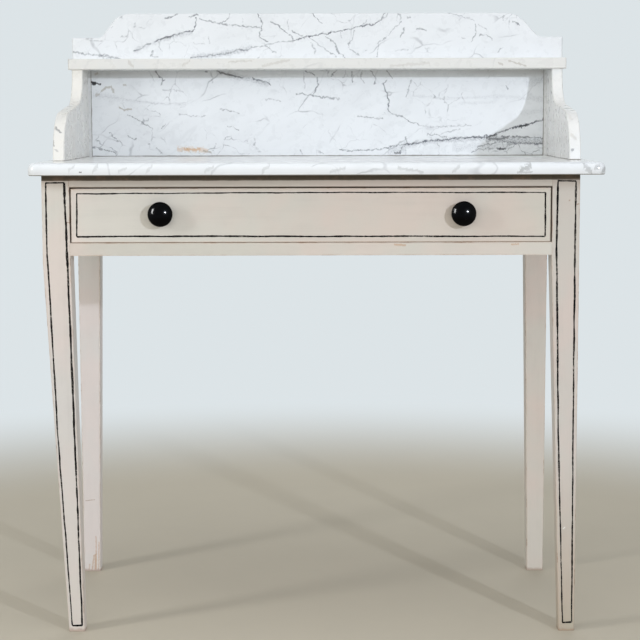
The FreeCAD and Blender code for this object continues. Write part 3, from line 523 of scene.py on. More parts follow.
# white marble with thin dark veins; a waver is how far veins stray and how closely, and any other pair of
# sizes is where a mark fades out and where it is at its full strength
marbleLook = {
    "white": (0.828, 0.856, 0.880),
    "cloud": (0.690, 0.715, 0.735),
    "cream": (0.845, 0.845, 0.825),
    "bone": (0.738, 0.735, 0.708),
    "ivory": (0.805, 0.790, 0.745),
    "vein": (0.095, 0.105, 0.130),
    "haze": (0.400, 0.420, 0.450),
    "rust": (0.640, 0.380, 0.170),
    "brown": (0.300, 0.255, 0.190),
    "dirt": (0.180, 0.160, 0.135),
    "grey": (0.420, 0.435, 0.440),
    "black": (0.018, 0.018, 0.020),
    "cloudScale": 9,
    "mottleScale": 60,
    "netScale": 11,
    "ribbonScale": 5,
    "crinkleScale": 30,
    "speckScale": 130,
    "netWaver": (0.07, 9),
    "crinkleWaver": (0.035, 32),
    "hazeWaver": (0.006, 60),
    "veinWaver": (0.011, 110),
    "veinBreaks": (3.0, 5.0, 1.70),
    "stainWaver": (0.006, 120),
    "frontDepth": (0.018, 0.016),
    "slabShade": (0.011, 0.001),
    "slabFootLine": (0.0016, 0.0008),
    "shelfEdge": 0.001,
    "shelfShade": (0.018, 0.004),
    "shelfMiddle": -0.03,
    "shelfEnds": (0.20, 0.42),
    "filletReach": 0.004,
    "jointReach": 0.0024,
    "jointFade": (0.0006, -0.0002),
    "mottleDepth": 0.00003,
    "roughness": 0.26,
    "slabRoughness": 0.13,
}
# how each piece's pattern is turned and shifted, its ground, and how strong its net and its ribbons are
stones = {
    "marble_back": {"turn": (0, 28, 0), "shift": (0, 0, 0), "tone": "white", "net": (0.24, 0.08)},
    "marble_top": {"turn": (80, 0, 24), "shift": (3, 5, 2), "tone": "white", "net": (0.30, 0.24)},
    "marble_shelf": {"turn": (60, 10, 20), "shift": (7, 1, 4), "tone": "bone", "net": (0.135, 0.153)},
    "marble_cheek_left": {"turn": (10, 20, 82), "shift": (2, 9, 6), "tone": "ivory", "net": (0.135, 0.153)},
    "marble_cheek_right": {"turn": (-8, 30, 88), "shift": (6, 2, 9), "tone": "cream", "net": (0.135, 0.153)},
}
# the back's veins: points in pixels of the picture, width in millimetres, strength
backVeins = {
    "tick": ([(164.2, 18.8), (171.1, 17.1), (177.1, 14.5)], 2.8, 0.70),
    "crest": ([(189, 16.4), (193, 15.6), (198, 15.2)], 3.4, 0.68),
    "crestFall": ([(196.2, 18), (195.4, 28), (193.4, 30.6)], 2.8, 0.80),
    "climb": ([(153.9, 42), (161.6, 38.6), (171.9, 36), (184, 32.6), (193.5, 30.5)], 2.3, 0.90),
    "climbFoot": ([(133.2, 51), (138.4, 50), (144.4, 45.5), (151, 43)], 2.2, 0.75),
    "loopA": ([(159, 41.2), (158.4, 47), (162.5, 51.5)], 2.2, 0.40),
    "loopB": ([(152.4, 50.6), (151.2, 56.8)], 2.6, 0.55),
    "loopC": ([(151.6, 56.6), (159, 56.4)], 2.6, 0.50),
    "haze": ([(72.9, 51.8), (86, 53.6), (100.5, 55.8), (120.3, 58.4)], 3.2, 0.50),
    "hazeCore": ([(98.7, 54.2), (109.1, 55.8)], 3.0, 0.60),
    "flatEdge": ([(88.4, 40.2), (102.2, 40.6)], 2.4, 0.35),
    "shoulderA": ([(119.6, 17.2), (122.6, 17)], 3.4, 0.45),
    "shoulderB": ([(110.4, 27.8), (113, 26.8)], 3.2, 0.40),
    "shoulderC": ([(120.3, 37.2), (128, 35.8)], 3.0, 0.40),
    "shoulderD": ([(134.7, 22.4), (135.3, 27.8)], 2.8, 0.35),
    "cross": ([(199.5, 18.8), (209.8, 21.4), (221.9, 23.9), (233.9, 25.3), (259.8, 27.4)], 2.2, 0.62),
    "shortFall": ([(229.6, 14), (226.2, 20.5), (219.6, 23.8)], 2.4, 0.60),
    "dropA": ([(242.5, 17.9), (243.4, 23.1)], 2.0, 0.30),
    "midFall": ([(258, 13.6), (261.8, 20.5), (261.4, 30.8), (258.9, 36)], 2.3, 0.72),
    "midFallEnd": ([(258.9, 36), (264.1, 39.4), (268.4, 42)], 2.2, 0.66),
    "midTail": ([(264.1, 45.5), (270, 48.6), (276.1, 53.2)], 2.2, 0.45),
    "stairs": ([(270.1, 21.9), (277.8, 24.8), (285.6, 31.7), (291.6, 36.9)], 2.3, 0.72),
    "stairSide": ([(291.6, 30.8), (304.5, 36.9)], 2.1, 0.58),
    "stairFoot": ([(292.4, 36.4), (292.6, 42)], 2.4, 0.62),
    "stairDrop": ([(288.1, 19.6), (288.4, 30.8)], 1.8, 0.36),
    "rise": ([
        (292.5, 41.2), (301.1, 38.1), (314.9, 35.1), (331.5, 32.6), (349, 28.7), (364.4, 25.7), (375.9, 23.4),
    ], 2.7, 0.88),
    "riseFoot": ([(251, 48.2), (259.8, 46.3), (278.7, 42), (292.5, 41.2)], 2.2, 0.50),
    "riseTurn": ([(375.9, 23.4), (381.2, 19.5), (382, 15.4)], 2.8, 0.85),
    "riseEnd": ([(381.6, 15.2), (386, 13), (391.5, 12.4)], 2.6, 0.70),
    "fuzzy": ([(190.9, 57.5), (206.4, 55.8), (218.4, 54.9), (230.5, 52.4), (237.4, 50)], 2.6, 0.60),
    "fuzzyEnd": ([(237, 49.8), (245.1, 50.6), (251.4, 48)], 2.8, 0.62),
    "quietA": ([(192.6, 42.9), (204.7, 43.7)], 2.0, 0.28),
    "quietB": ([(208.1, 36), (209.8, 43.7)], 2.0, 0.32),
    "fallA": ([(313.1, 13.6), (317.4, 19.6), (322.6, 23.9)], 2.2, 0.62),
    "fallB": ([(309.7, 36.9), (318.3, 44.6), (330, 53.2), (336.8, 56.3)], 2.0, 0.52),
    "fallC": ([(309.7, 42), (314.9, 48.1), (315.7, 54.9)], 2.0, 0.42),
    "fallD": ([(325.4, 36.4), (335.3, 43.3), (338.4, 52.5), (345.3, 57.8)], 2.3, 0.66),
    "fallE": ([(339.9, 30.3), (341.4, 37.9)], 2.0, 0.48),
    "fallF": ([(354.4, 29.5), (353.7, 35.6), (349, 43.3), (348.3, 48)], 2.2, 0.48),
    "fallG": ([(349.8, 49.4), (359.8, 55.5)], 2.4, 0.50),
    "branch": ([(360.6, 27.2), (367.5, 18.8)], 2.2, 0.55),
    "dotA": ([(364.8, 51), (367, 50.6)], 2.8, 0.45),
    "hook": ([(402.7, 20.3), (392.7, 29.5), (385.8, 37.9), (379.2, 41.4)], 2.0, 0.45),
    "hookFoot": ([(378.9, 41.7), (377.4, 49.4), (377.2, 56.6)], 2.2, 0.55),
    "comma": ([(403.6, 27.6), (403.2, 32.6), (400.4, 37.1)], 2.6, 0.58),
    "dotB": ([(407, 17), (410.6, 17.4)], 3.0, 0.55),
    "quietC": ([(395, 50.2), (408.8, 49.4)], 2.2, 0.32),
    "dash": ([(417.2, 28.3), (427.1, 30)], 2.2, 0.66),
    "topRight": ([(447, 12.7), (457.8, 15), (474.6, 20.3)], 1.8, 0.42),
    "fork": ([(476.1, 23.4), (475.4, 34.1), (470.8, 42.5)], 2.4, 0.58),
    "forkArm": ([(477.7, 24.1), (486.8, 30.3)], 1.8, 0.38),
    "forkDot": ([(461.6, 37.4), (465, 38.8)], 2.8, 0.42),
    "forkSide": ([(480, 35.6), (485.3, 34.4), (493, 39.4)], 2.4, 0.54),
    "rightTick": ([(503.7, 15.7), (503.3, 20.6)], 2.0, 0.34),
    "rightFoot": ([(502.2, 47.1), (497.6, 52.5)], 2.2, 0.36),
    "shoulderE": ([(511.8, 21.6), (520.6, 25.8)], 2.8, 0.78),
    "underA": ([(155.4, 70.6), (160.7, 78.2), (164, 81)], 3.0, 0.80),
    "underAEnd": ([(163, 80.6), (161.6, 83), (159.9, 86.4)], 2.8, 0.66),
    "underB": ([(148.7, 71.3), (153.9, 80.8)], 2.2, 0.32),
    "underDot": ([(205, 71.6), (208, 71)], 3.2, 0.70),
    "underC": ([(215.8, 71), (225.3, 73.9), (233.9, 75.9), (243, 77.5)], 2.9, 0.92),
    "underCEnd": ([(251.6, 77), (256.3, 79.9), (266.6, 82.5), (270.6, 84.6)], 2.6, 0.80),
    "underD": ([(211.5, 72), (212.4, 83.4)], 2.0, 0.34),
    "zigTop": ([(305.6, 71), (315.2, 75.8)], 2.8, 0.78),
    "zigDown": ([(317.2, 77.6), (317.6, 85.9), (313.1, 94.5)], 2.8, 0.82),
    "zigFoot": ([(295.9, 93.7), (308, 94.8), (318.3, 96.3), (323, 98.4)], 2.8, 0.74),
    "zigSide": ([(304.4, 71.3), (304.6, 89.4)], 1.8, 0.38),
    "clumpA": ([(264.9, 99.7), (271.8, 98.9), (282.1, 101.4)], 2.8, 0.38),
    "dashA": ([(218.4, 109.2), (228.8, 110.4), (239.1, 113.1)], 2.2, 0.55),
    "dashB": ([(178.8, 113.5), (190.9, 116.1), (206.4, 116.1)], 2.0, 0.40),
    "dashC": ([(227, 125.5), (240, 129.9)], 2.2, 0.60),
    "dashD": ([(163.3, 89.4), (180.5, 91.1)], 2.2, 0.32),
    "longLeft": ([(93, 95.5), (132.3, 99.7), (153, 103.2), (185.7, 104.9)], 2.2, 0.22),
    "lowA": ([(128, 114.4), (138.4, 120.4), (152.1, 128.1)], 2.2, 0.56),
    "lowB": ([(152.2, 127.8), (151.3, 141)], 2.0, 0.42),
    "lowC": ([(109.1, 132.4), (116.8, 139.3), (121.3, 143.8)], 2.4, 0.58),
    "lowD": ([(127.6, 135.6), (134, 140.2), (138, 139.2)], 2.6, 0.60),
    "lowE": ([(92.7, 147.1), (103.1, 149.6), (116.8, 153.4)], 2.6, 0.62),
    "lowF": ([(156.4, 147.9), (162.5, 154)], 2.4, 0.48),
    "lowG": ([(165.2, 123.4), (161.6, 129.4)], 2.6, 0.52),
    "lowDot": ([(147.4, 144.2), (150, 144.8)], 2.6, 0.65),
    "lowH": ([(223.6, 139.3), (230.5, 135.9)], 2.4, 0.46),
    "lowI": ([(216, 143), (213.4, 151)], 2.2, 0.40),
    "lowJ": ([(301, 149.5), (302.2, 155)], 2.4, 0.48),
    "strokeA": ([(336.2, 69.6), (331.5, 76.9)], 2.6, 0.64),
    "strokeB": ([(345.2, 70), (343.6, 77.7)], 2.0, 0.45),
    "strokeC": ([(351.4, 70), (352.4, 76.9), (353, 83.4)], 2.2, 0.58),
    "strokeD": ([(362.1, 70.8), (361.4, 78.5), (364.4, 83.8)], 2.0, 0.45),
    "strokeE": ([(371.3, 70.6), (375.3, 77), (375, 84.6)], 2.4, 0.60),
    "strokeF": ([(385.8, 70.8), (393, 77.9)], 2.4, 0.62),
    "rightZig": ([(385.6, 80), (383.4, 84.6), (386.6, 92.2), (389.4, 103), (388.3, 110.6)], 2.7, 0.80),
    "rightZigEnd": ([
        (388.3, 110.8), (391.9, 113.7), (400.4, 116), (410.3, 122.1), (419.5, 124.4),
    ], 2.4, 0.66),
    "rightQuiet": ([(419.5, 124.4), (430.2, 127.3), (453.2, 126.1), (472, 125.4)], 2.2, 0.36),
    "faintFall": ([(411.8, 80), (408.8, 89.2), (406.5, 96.8)], 2.2, 0.40),
    "sharpTick": ([(506, 85.2), (507.7, 90.4)], 2.4, 0.66),
    "dashRow": ([(356.7, 116), (371.3, 118), (383.5, 119)], 2.4, 0.58),
    "leftRow": ([(322, 97), (330, 97.4), (339.9, 98.6)], 3.0, 0.52),
    "heavyA": ([
        (338.4, 149.9), (350.6, 150.8), (365.9, 150.4), (381.2, 148.9), (396.5, 145.8), (405.7, 144.3),
    ], 2.8, 0.66),
    "heavyB": ([
        (405.7, 144.3), (414.9, 143.4), (427.1, 141.2), (442.5, 139.7), (457.8, 138.2), (471.5, 137.4),
        (489, 136.4),
    ], 3.2, 0.90),
    "heavyC": ([
        (489, 136.6), (497.6, 132.8), (506.7, 130), (511.3, 127.5), (523.6, 125.9), (533.5, 122.9),
        (546, 118.8),
    ], 3.0, 0.88),
    "heavyCore": ([(519.4, 126.6), (528, 124.6)], 5.0, 0.95),
    "heavyEnd": ([(542.6, 119.8), (546.4, 118.4)], 6.5, 0.75),
    "spur": ([(405.5, 136.4), (407.4, 143.6)], 2.4, 0.55),
    "clumpB": ([(394.5, 153.4), (398, 152.4), (401.5, 153)], 5.5, 0.72),
    "clumpLink": ([(403.6, 145.6), (398.4, 152.6)], 3.4, 0.62),
    "twinA": ([(500.6, 136.4), (513, 136.6), (525.1, 137), (546, 138.6)], 2.8, 0.70),
    "twinB": ([(502.2, 141.2), (519, 143.4), (532, 143.4), (546, 143.6)], 3.0, 0.76),
    "twinEnd": ([(540, 143.6), (546.4, 143.6)], 4.6, 0.70),
    "footA": ([(496, 142.8), (479.2, 145.8), (471.5, 153.5)], 2.8, 0.66),
    "footB": ([(493, 148.1), (473.1, 150.6)], 2.4, 0.52),
    "lens": ([(497.4, 148.2), (502, 149), (506.4, 148.4)], 3.4, 0.78),
    "aboveHeavy": ([(427, 134.4), (437, 135), (447, 137.6)], 2.6, 0.50),
    "tangle": ([(440, 133.6), (452, 131.4), (461, 128.8)], 2.4, 0.42),
}
# broad soft streaks beside them; the three shade marks at the right and the corner mark at the left
# are painted shade beside the cheeks
backHaze = {
    "heavyBlot": ([(486, 139.6), (496, 138.6), (506, 138.2)], 15.0, 1.0),
    "twinBand": ([(503, 140), (524, 140.6), (546, 141.2)], 12.0, 0.80),
    "heavyGlow": ([(404, 145), (440, 140.4), (489, 137.6)], 9.0, 0.62),
    "rightBand": ([(411.8, 95.3), (451.6, 98.9), (496, 96.2), (519, 97.6), (546, 101.7)], 5.5, 0.24),
    "rightBandLow": ([(457.8, 103), (475, 102.8), (493, 102.2)], 4.5, 0.20),
    "underCGlow": ([(216, 72), (243, 78), (270, 84)], 10.0, 0.50),
    "leftBand": ([(93, 97), (132, 101), (186, 105.5)], 6.0, 0.16),
    "climbGlow": ([(134, 51), (154, 42.4), (193, 31)], 9.0, 0.44),
    "fuzzyGlow": ([(192, 57), (230, 53), (252, 48.6)], 9.0, 0.50),
    # painted shade in the right cheek's shadow
    "shadeA": ([(526, 82), (546, 80)], 12.0, 0.30),
    "shadeB": ([(527, 96), (546, 100)], 12.0, 0.30),
    "shadeC": ([(520, 113), (546, 111)], 9.0, 0.20),
    # painted shade beside the left cheek
    "cornerShade": ([(92, 92), (104, 97), (118, 99)], 18.0, 0.16),
    "rightFootWash": ([(452, 148), (480, 146), (512, 147)], 14.0, 0.30),
    "clumpGlow": ([(388, 150), (406, 149)], 16.0, 0.46),
}
# other marks on the marble, by piece and colour, drawn the same way
stoneMarks = {
    "marble_back": {
        "rust": {
            "stain": ([(177, 149.2), (192.6, 149.4), (208, 150.4)], 9.0, 0.40),
            "stainCore": ([(184, 149), (193, 149.6), (201, 149.4)], 6.0, 0.75),
        },
        "brown": {
            "spotA": ([(100.5, 91.4), (106, 88), (111.7, 86)], 5.0, 0.52),
            "spotB": ([(111.6, 86), (113.6, 92.8)], 4.0, 0.50),
            "spotC": ([(95.4, 94.8), (100, 94)], 4.6, 0.45),
            "spotD": ([(94.4, 74.2), (98.2, 73.4)], 5.0, 0.55),
            "spotE": ([(118.5, 106.6), (123.7, 109.8), (132.3, 109.2)], 3.8, 0.60),
            "stainTail": ([(203, 151), (211.5, 152.6)], 3.4, 0.60),
            "spotF": ([(122.8, 85.2), (126.4, 85)], 4.0, 0.45),
        },
        "black": {
            "wedge": ([(90.4, 83), (93.5, 83.2), (96, 83.4)], 7.2, 1.0),
            "wedgeTip": ([(94.5, 83.2), (101, 84.2)], 3.4, 0.95),
            "cornerSpot": ([(545.2, 104.2), (547.4, 104.8)], 2.6, 0.7),
            "core": ([(518.6, 127), (523, 126.4), (529, 124.6)], 3.6, 0.85),
            "coreEnd": ([(542.8, 119.8), (546.4, 117.8)], 5.0, 0.75),
            "coreLens": ([(498.4, 148.4), (502, 149.2), (505.6, 148.6)], 2.8, 0.70),
            "coreTwin": ([(538, 143.4), (546.2, 143.4)], 2.6, 0.55),
            "coreKnot": ([(486, 137.6), (492, 136), (497, 133.6)], 3.8, 0.70),
            "coreBlot": ([(488, 139.4), (500, 138.6), (509, 137.6)], 3.6, 0.60),
            "coreTwinA": ([(512, 136.6), (530, 137.4)], 2.4, 0.50),
            "coreLow": ([(395, 153.8), (400, 152.8)], 3.0, 0.45),
            "coreUnder": ([(222, 73), (234, 75.8)], 2.4, 0.60),
            "coreClimb": ([(160, 39.4), (171, 36.4)], 2.0, 0.45),
        },
    },
    "marble_top": {
        "grey": {
            "patch": ([(519, 171), (524, 168.5), (531, 165)], 11.0, 0.75),
            "patchFoot": ([(517, 172.4), (533, 172)], 4.0, 0.55),
            "endA": ([(583, 165), (588, 169), (592, 173)], 8.0, 0.60),
            "endB": ([(594, 168), (600, 166)], 9.0, 0.55),
            "endC": ([(602, 171), (607, 168)], 8.0, 0.70),
            "leftA": ([(68, 171), (74, 166)], 5.0, 0.34),
            "leftB": ([(92, 172), (98, 166)], 6.0, 0.38),
            "leftC": ([(118, 172), (127, 168)], 5.0, 0.32),
            "leftD": ([(146, 171.6), (152, 166)], 5.0, 0.32),
            "midA": ([(204, 172), (214, 166)], 5.0, 0.34),
            "midB": ([(262, 172), (270, 165)], 6.0, 0.36),
            "midC": ([(330, 172), (345, 168)], 5.0, 0.34),
            "midD": ([(398, 168), (424, 172)], 5.0, 0.38),
            "midE": ([(452, 172), (460, 166)], 5.0, 0.36),
        },
        "black": {"chip": ([(78.6, 172.2), (81.4, 172.7)], 3.0, 0.75)},
    },
    "marble_cheek_left": {
        "vein": {
            "slant": ([(53.2, 126.6), (59.8, 133.4)], 3.4, 0.72),
            "smudge": ([(52.0, 140), (52.8, 146)], 4.4, 0.62),
            "foot": ([(55, 149), (58, 152)], 4.0, 0.35),
        },
        "brown": {
            "speckA": ([(72, 100), (77, 96)], 5.0, 0.30),
            "speckB": ([(58, 117), (64, 112)], 5.0, 0.26),
            "speckC": ([(75, 90), (80, 86)], 4.0, 0.28),
        },
    },
    "marble_cheek_right": {
        "vein": {"spot": ([(571.6, 150.6), (574.6, 150.0)], 3.6, 0.6)},
        "brown": {
            "speckA": ([(560, 92), (563, 98)], 4.0, 0.26),
            "speckB": ([(572, 113), (575, 120)], 5.0, 0.26),
            "speckC": ([(571, 134), (577, 139)], 5.0, 0.28),
        },
    },
    "marble_shelf": {
        "brown": {
            "markA": ([(228, 62), (252, 60.6)], 3.0, 0.22),
            "markB": ([(262, 66), (290, 60)], 5.0, 0.22),
            "markC": ([(498, 63), (503, 64.6)], 3.6, 0.40),
            "markD": ([(508, 60.4), (526, 66)], 3.0, 0.42),
            "markE": ([(128, 62), (134, 67)], 6.0, 0.26),
            "markF": ([(182, 66), (190, 61)], 5.0, 0.22),
            "markG": ([(390, 66), (430, 63)], 5.0, 0.20),
        },
    },
}


def cells(f, at, scale):
    # the distance to the nearest edge in a net of cells
    settings, values = {"feature": "DISTANCE_TO_EDGE"}, {"Vector": at, "Scale": scale}
    return f.node("ShaderNodeTexVoronoi", settings, values, "Distance")


def fineVeins(f, base, mottle, shares, veined):
    # a fine broken net, and long thin ribbons where a bent noise passes through its middle value
    look = marbleLook
    bent = f.warped(*look["netWaver"], 4, base)
    net = cells(f, f.mapped((0.62, 1, 1.35), at=bent), look["netScale"])
    patchy = f.step(f.noise(14, 3, 0.55, f.mapped(shift=(4, 8, 1), at=base)), 0.46, 0.68)
    hair = f.step(net, 0.020, 0.002) * patchy
    ribbon = abs(f.noise(look["ribbonScale"], 3, 0.5, f.mapped((0.55, 1, 1.6), at=bent)) - 0.5)
    ribbon = f.step(ribbon, 0.011, 0.0) * f.step(f.noise(8, 3, 0.5, base), 0.46, 0.66)
    if veined:
        # and short crinkled cracks, in patches
        crinkle = cells(f, f.warped(*look["crinkleWaver"], 4, base), look["crinkleScale"])
        spread = f.step(f.noise(13, 3, 0.6, f.mapped(shift=(9, 3, 5), at=base)), 0.50, 0.66)
        cracks = f.step(crinkle, 0.036, 0.006) * spread * f.step(mottle, 0.38, 0.60)
        hair = (hair * 2.2).math("MAXIMUM", cracks * 2.6)
    netShare, ribbonShare = shares
    return (hair * netShare).math("MAXIMUM", ribbon * ribbonShare)


def drawnVeins(f, color):
    # the back is painted a little darker towards its head as painted shade, and has grey streaks,
    # some of them painted shade, and uneven veins
    look = marbleLook
    low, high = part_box("marble_back")
    # painted shade: darker towards the head
    color = f.mix(color, look["cloud"], f.step(f.z, low.z, high.z) * 0.30)
    # a fine noise breaks up the streaks, the painted shade among them too
    speckling = 0.40 + f.step(f.noise(420, 3, 0.7), 0.46, 0.60) * 0.9
    color = f.mix(color, look["haze"], drawnMarks(f, backHaze, low.y, *look["hazeWaver"]) * speckling)
    depth = 0.58 + f.step(f.noise(110, 4, 0.65), 0.36, 0.56) * 0.52
    lines = drawnMarks(f, backVeins, low.y, *look["veinWaver"], look["veinBreaks"])
    return f.mix(color, look["vein"], lines * depth)


def stoneJoints(f, name, color, front, cloud, mottle):
    # dirt in the joint with the slab; on the back also beside the cheeks,
    # and a brown band under the shelf, partly dirt and partly painted shade
    look = marbleLook
    near = f.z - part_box("marble_top")[1].z
    if name == "marble_back":
        shelfFoot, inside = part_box("marble_shelf")[0].z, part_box("marble_cheek_right")[0].x
        low = f.step(f.z, shelfFoot + look["shelfEdge"], shelfFoot)
        # the band under the shelf: partly dirt, partly painted shade of the shelf
        band = f.step(shelfFoot - f.z, *look["shelfShade"]) * low * front
        ends = f.step(abs(f.x - look["shelfMiddle"]), *look["shelfEnds"])
        color = f.mix(color, look["brown"], band * (0.12 + cloud * 0.25 + ends * 0.16))
        near = near.math("MINIMUM", abs(abs(f.x) - (inside - look["filletReach"])) + (1 - low))
    dirt = f.step(near - mottle * look["jointReach"], *look["jointFade"])
    dirt = dirt * (0.55 + f.step(cloud, 0.30, 0.55) * 0.45)
    if name == "marble_back":
        dirt = dirt * front
    return f.mix(color, look["dirt"], dirt * 0.85)


def marble(name, block):
    look = marbleLook
    f = Finish(name, Roughness=look["roughness"])
    base = f.mapped((1, 1, 1), block["shift"], block["turn"])
    veined = name == "marble_back"
    face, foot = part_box(name)[0].y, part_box(name)[0].z
    ground, rough, front = look[block["tone"]], look["roughness"], 1.0
    if name in ("marble_back", "marble_top"):
        front = f.step(f.y, *(face + depth for depth in look["frontDepth"]))
    if name == "marble_top":
        ground = f.mix(ground, look["cream"], (1 - front) * 0.6)
        rough = look["slabRoughness"]
    # clouds in the white, then veins and small grey specks
    cloud = f.noise(look["cloudScale"], 5, 0.62, f.mapped((1, 1, 2.2), at=base))
    mottle = f.noise(look["mottleScale"], 4, 0.6, base)
    clouded = f.step(cloud, 0.45, 0.80) * 0.55 + f.step(mottle, 0.5, 0.8) * 0.10
    color = f.mix(ground, look["cloud"], clouded)
    fine = fineVeins(f, base, mottle, block["net"], veined)
    color = f.mix(color, look["vein"], fine)
    speck = f.step(f.noise(look["speckScale"], 3, 0.6, base), 0.66, 0.80) * f.step(cloud, 0.40, 0.60)
    color = f.mix(color, look["haze"], speck * (0.45 if veined else 0.16))
    if "cheek" in name:
        # upright grey streaks on the broad sides
        streak = f.noise(1, 4, 0.6, f.mapped((60, 75, 5)))
        facing = f.node("ShaderNodeSeparateXYZ", {}, [f.node("ShaderNodeNewGeometry", out="Normal")])
        color = f.mix(color, look["grey"], f.step(streak, 0.40, 0.80) * abs(facing) * 0.36)
        front = abs(facing.other("Y"))
    if veined:
        color = drawnVeins(f, color)
    for tint, marks in stoneMarks.get(name, {}).items():
        color = f.mix(color, look[tint], drawnMarks(f, marks, face, *look["stainWaver"]) * front)
    if name == "marble_top":
        # the front darkens towards its foot, and is nearly black along its lowest edge
        shade = f.step(f.z - foot, *look["slabShade"]) * front
        color = f.mix(color, look["brown"], shade * (0.04 + cloud * 0.22))
        color = f.mix(color, look["dirt"], f.step(f.z - foot, *look["slabFootLine"]) * 0.85)
    if name not in ("marble_top", "marble_shelf"):
        color = stoneJoints(f, name, color, front, cloud, mottle)
    rough = rough + f.step(mottle, 0.3, 0.9) * 0.12 + fine * 0.1
    return f.feed(Base_Color=color, Roughness=rough, Normal=f.bump(mottle, look["mottleDepth"], 0.25))


for node, block in stones.items():
    cover(node, marble(node, block))
print("marble with", len(backVeins), "drawn veins")


# dry plaster in the corners
plasterLook = {
    "pale": (0.700, 0.705, 0.700),
    "grey": (0.480, 0.475, 0.460),
    "lumpScale": 240,
    "lumpDepth": 0.0006,
    "roughness": 0.85,
}


def dryPlaster():
    look = plasterLook
    f = Finish("dry_plaster", Roughness=look["roughness"])
    lumps = f.noise(look["lumpScale"], 4, 0.6)
    color = f.mix(look["pale"], look["grey"], f.step(lumps, 0.45, 0.75) * 0.6)
    return f.feed(Base_Color=color, Normal=f.bump(lumps, look["lumpDepth"], 0.7))


cover("plaster_fillets", dryPlaster())


# glossy black knobs with faint rubbing
knobLook = {
    "black": (0.0010, 0.0010, 0.0014),
    "rubbed": (0.0030, 0.0028, 0.0030),
    "gloss": 0.06,
    "roughness": 0.15,
    "smearScale": 90,
    "rippleScale": 300,
    "rippleDepth": 0.00001,
}


def glossBlack():
    look = knobLook
    f = Finish("glossy_black", Specular_IOR_Level=look["gloss"])
    smear = f.noise(look["smearScale"], 4, 0.6)
    color = f.mix(look["black"], look["rubbed"], f.step(smear, 0.5, 0.8))
    rough = look["roughness"] + f.step(smear, 0.5, 0.9) * 0.06
    ripple = f.bump(f.noise(look["rippleScale"], 2), look["rippleDepth"], 0.3)
    return f.feed(Base_Color=color, Roughness=rough, Normal=ripple)


cover("drawer_knobs", glossBlack())


# dull iron, a little rust
ironLook = {
    "iron": (0.150, 0.130, 0.115),
    "rust": (0.230, 0.100, 0.045),
    "metal": 0.6,
    "rustScale": 260,
    "flakeScale": 700,
    "flakeDepth": 0.0002,
}
ironNodes = (
    "runner_nails", "kicker_nails", "bottom_brads",
    "marble_pins", "knob_screws", "knob_washers",
)


def dullIron():
    look = ironLook
    f = Finish("dull_iron", Metallic=look["metal"])
    flakes = f.noise(look["flakeScale"], 4, 0.65)
    rust = f.step(f.noise(look["rustScale"], 3), 0.48, 0.62)
    color = f.mix(look["iron"], look["rust"], rust)
    pitted = f.bump(flakes, look["flakeDepth"], 0.6)
    return f.feed(Base_Color=color, Roughness=0.5 + rust * 0.35, Normal=pitted)


ironMaterial = dullIron()
for node in ironNodes:
    cover(node, ironMaterial)
print("plaster, knobs and iron done")


def solidAlong(rings):
    # a closed skin over rings of points: quads from ring to ring, a flat face at each end, faces outwards
    count, around = rings.shape[:2]
    ring = np.arange(around)
    onward = np.roll(ring, -1)
    first = np.arange(count - 1)[:, None] * around
    corners = [first + ring, first + onward, first + around + onward, first + around + ring]
    quads = np.stack(corners, -1).reshape(-1, 4)
    ends = np.stack([ring[::-1], ring + (count - 1) * around])
    spots = rings.reshape(-1, 3)
    a, b, c, d = (spots[quads[:, k]] for k in range(4))
    volume = (a * (np.cross(b, c) + np.cross(c, d))).sum()
    if volume < 0:
        quads, ends = quads[:, ::-1], ends[:, ::-1]
    return spots, quads, ends


def meshPiece(name, solids, material, body):
    # several closed skins in one mesh, which rides on a body
    spots, faces, start = [], [], 0
    for points, quads, ends in solids:
        spots.append(points)
        faces += (quads + start).tolist() + (ends + start).tolist()
        start += len(points)
    mesh = bpy.data.meshes.new(name)
    mesh.from_pydata(np.concatenate(spots).tolist(), [], faces)
    mesh.materials.append(material)
    piece = bpy.data.objects.new(name, mesh)
    bpy.context.scene.collection.objects.link(piece)
    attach(piece, body)


# thin black lines, drawn by hand with a brush on the legs and the drawer
lineLook = {
    "black": (0.012, 0.011, 0.011),
    "step": 0.0012,
    "rise": 0.00016,
    "sink": 0.00030,
    "wobble": 0.00035,
    "swayPitches": (30, 7),
    "ragged": 0.38,
    "raggedPitches": (12, 3),
    "heavy": 1.14,
    "blunt": 0.04,
    "gloss": 0.04,
    "roughness": 0.9,
    "brushDepth": 0.00008,
}
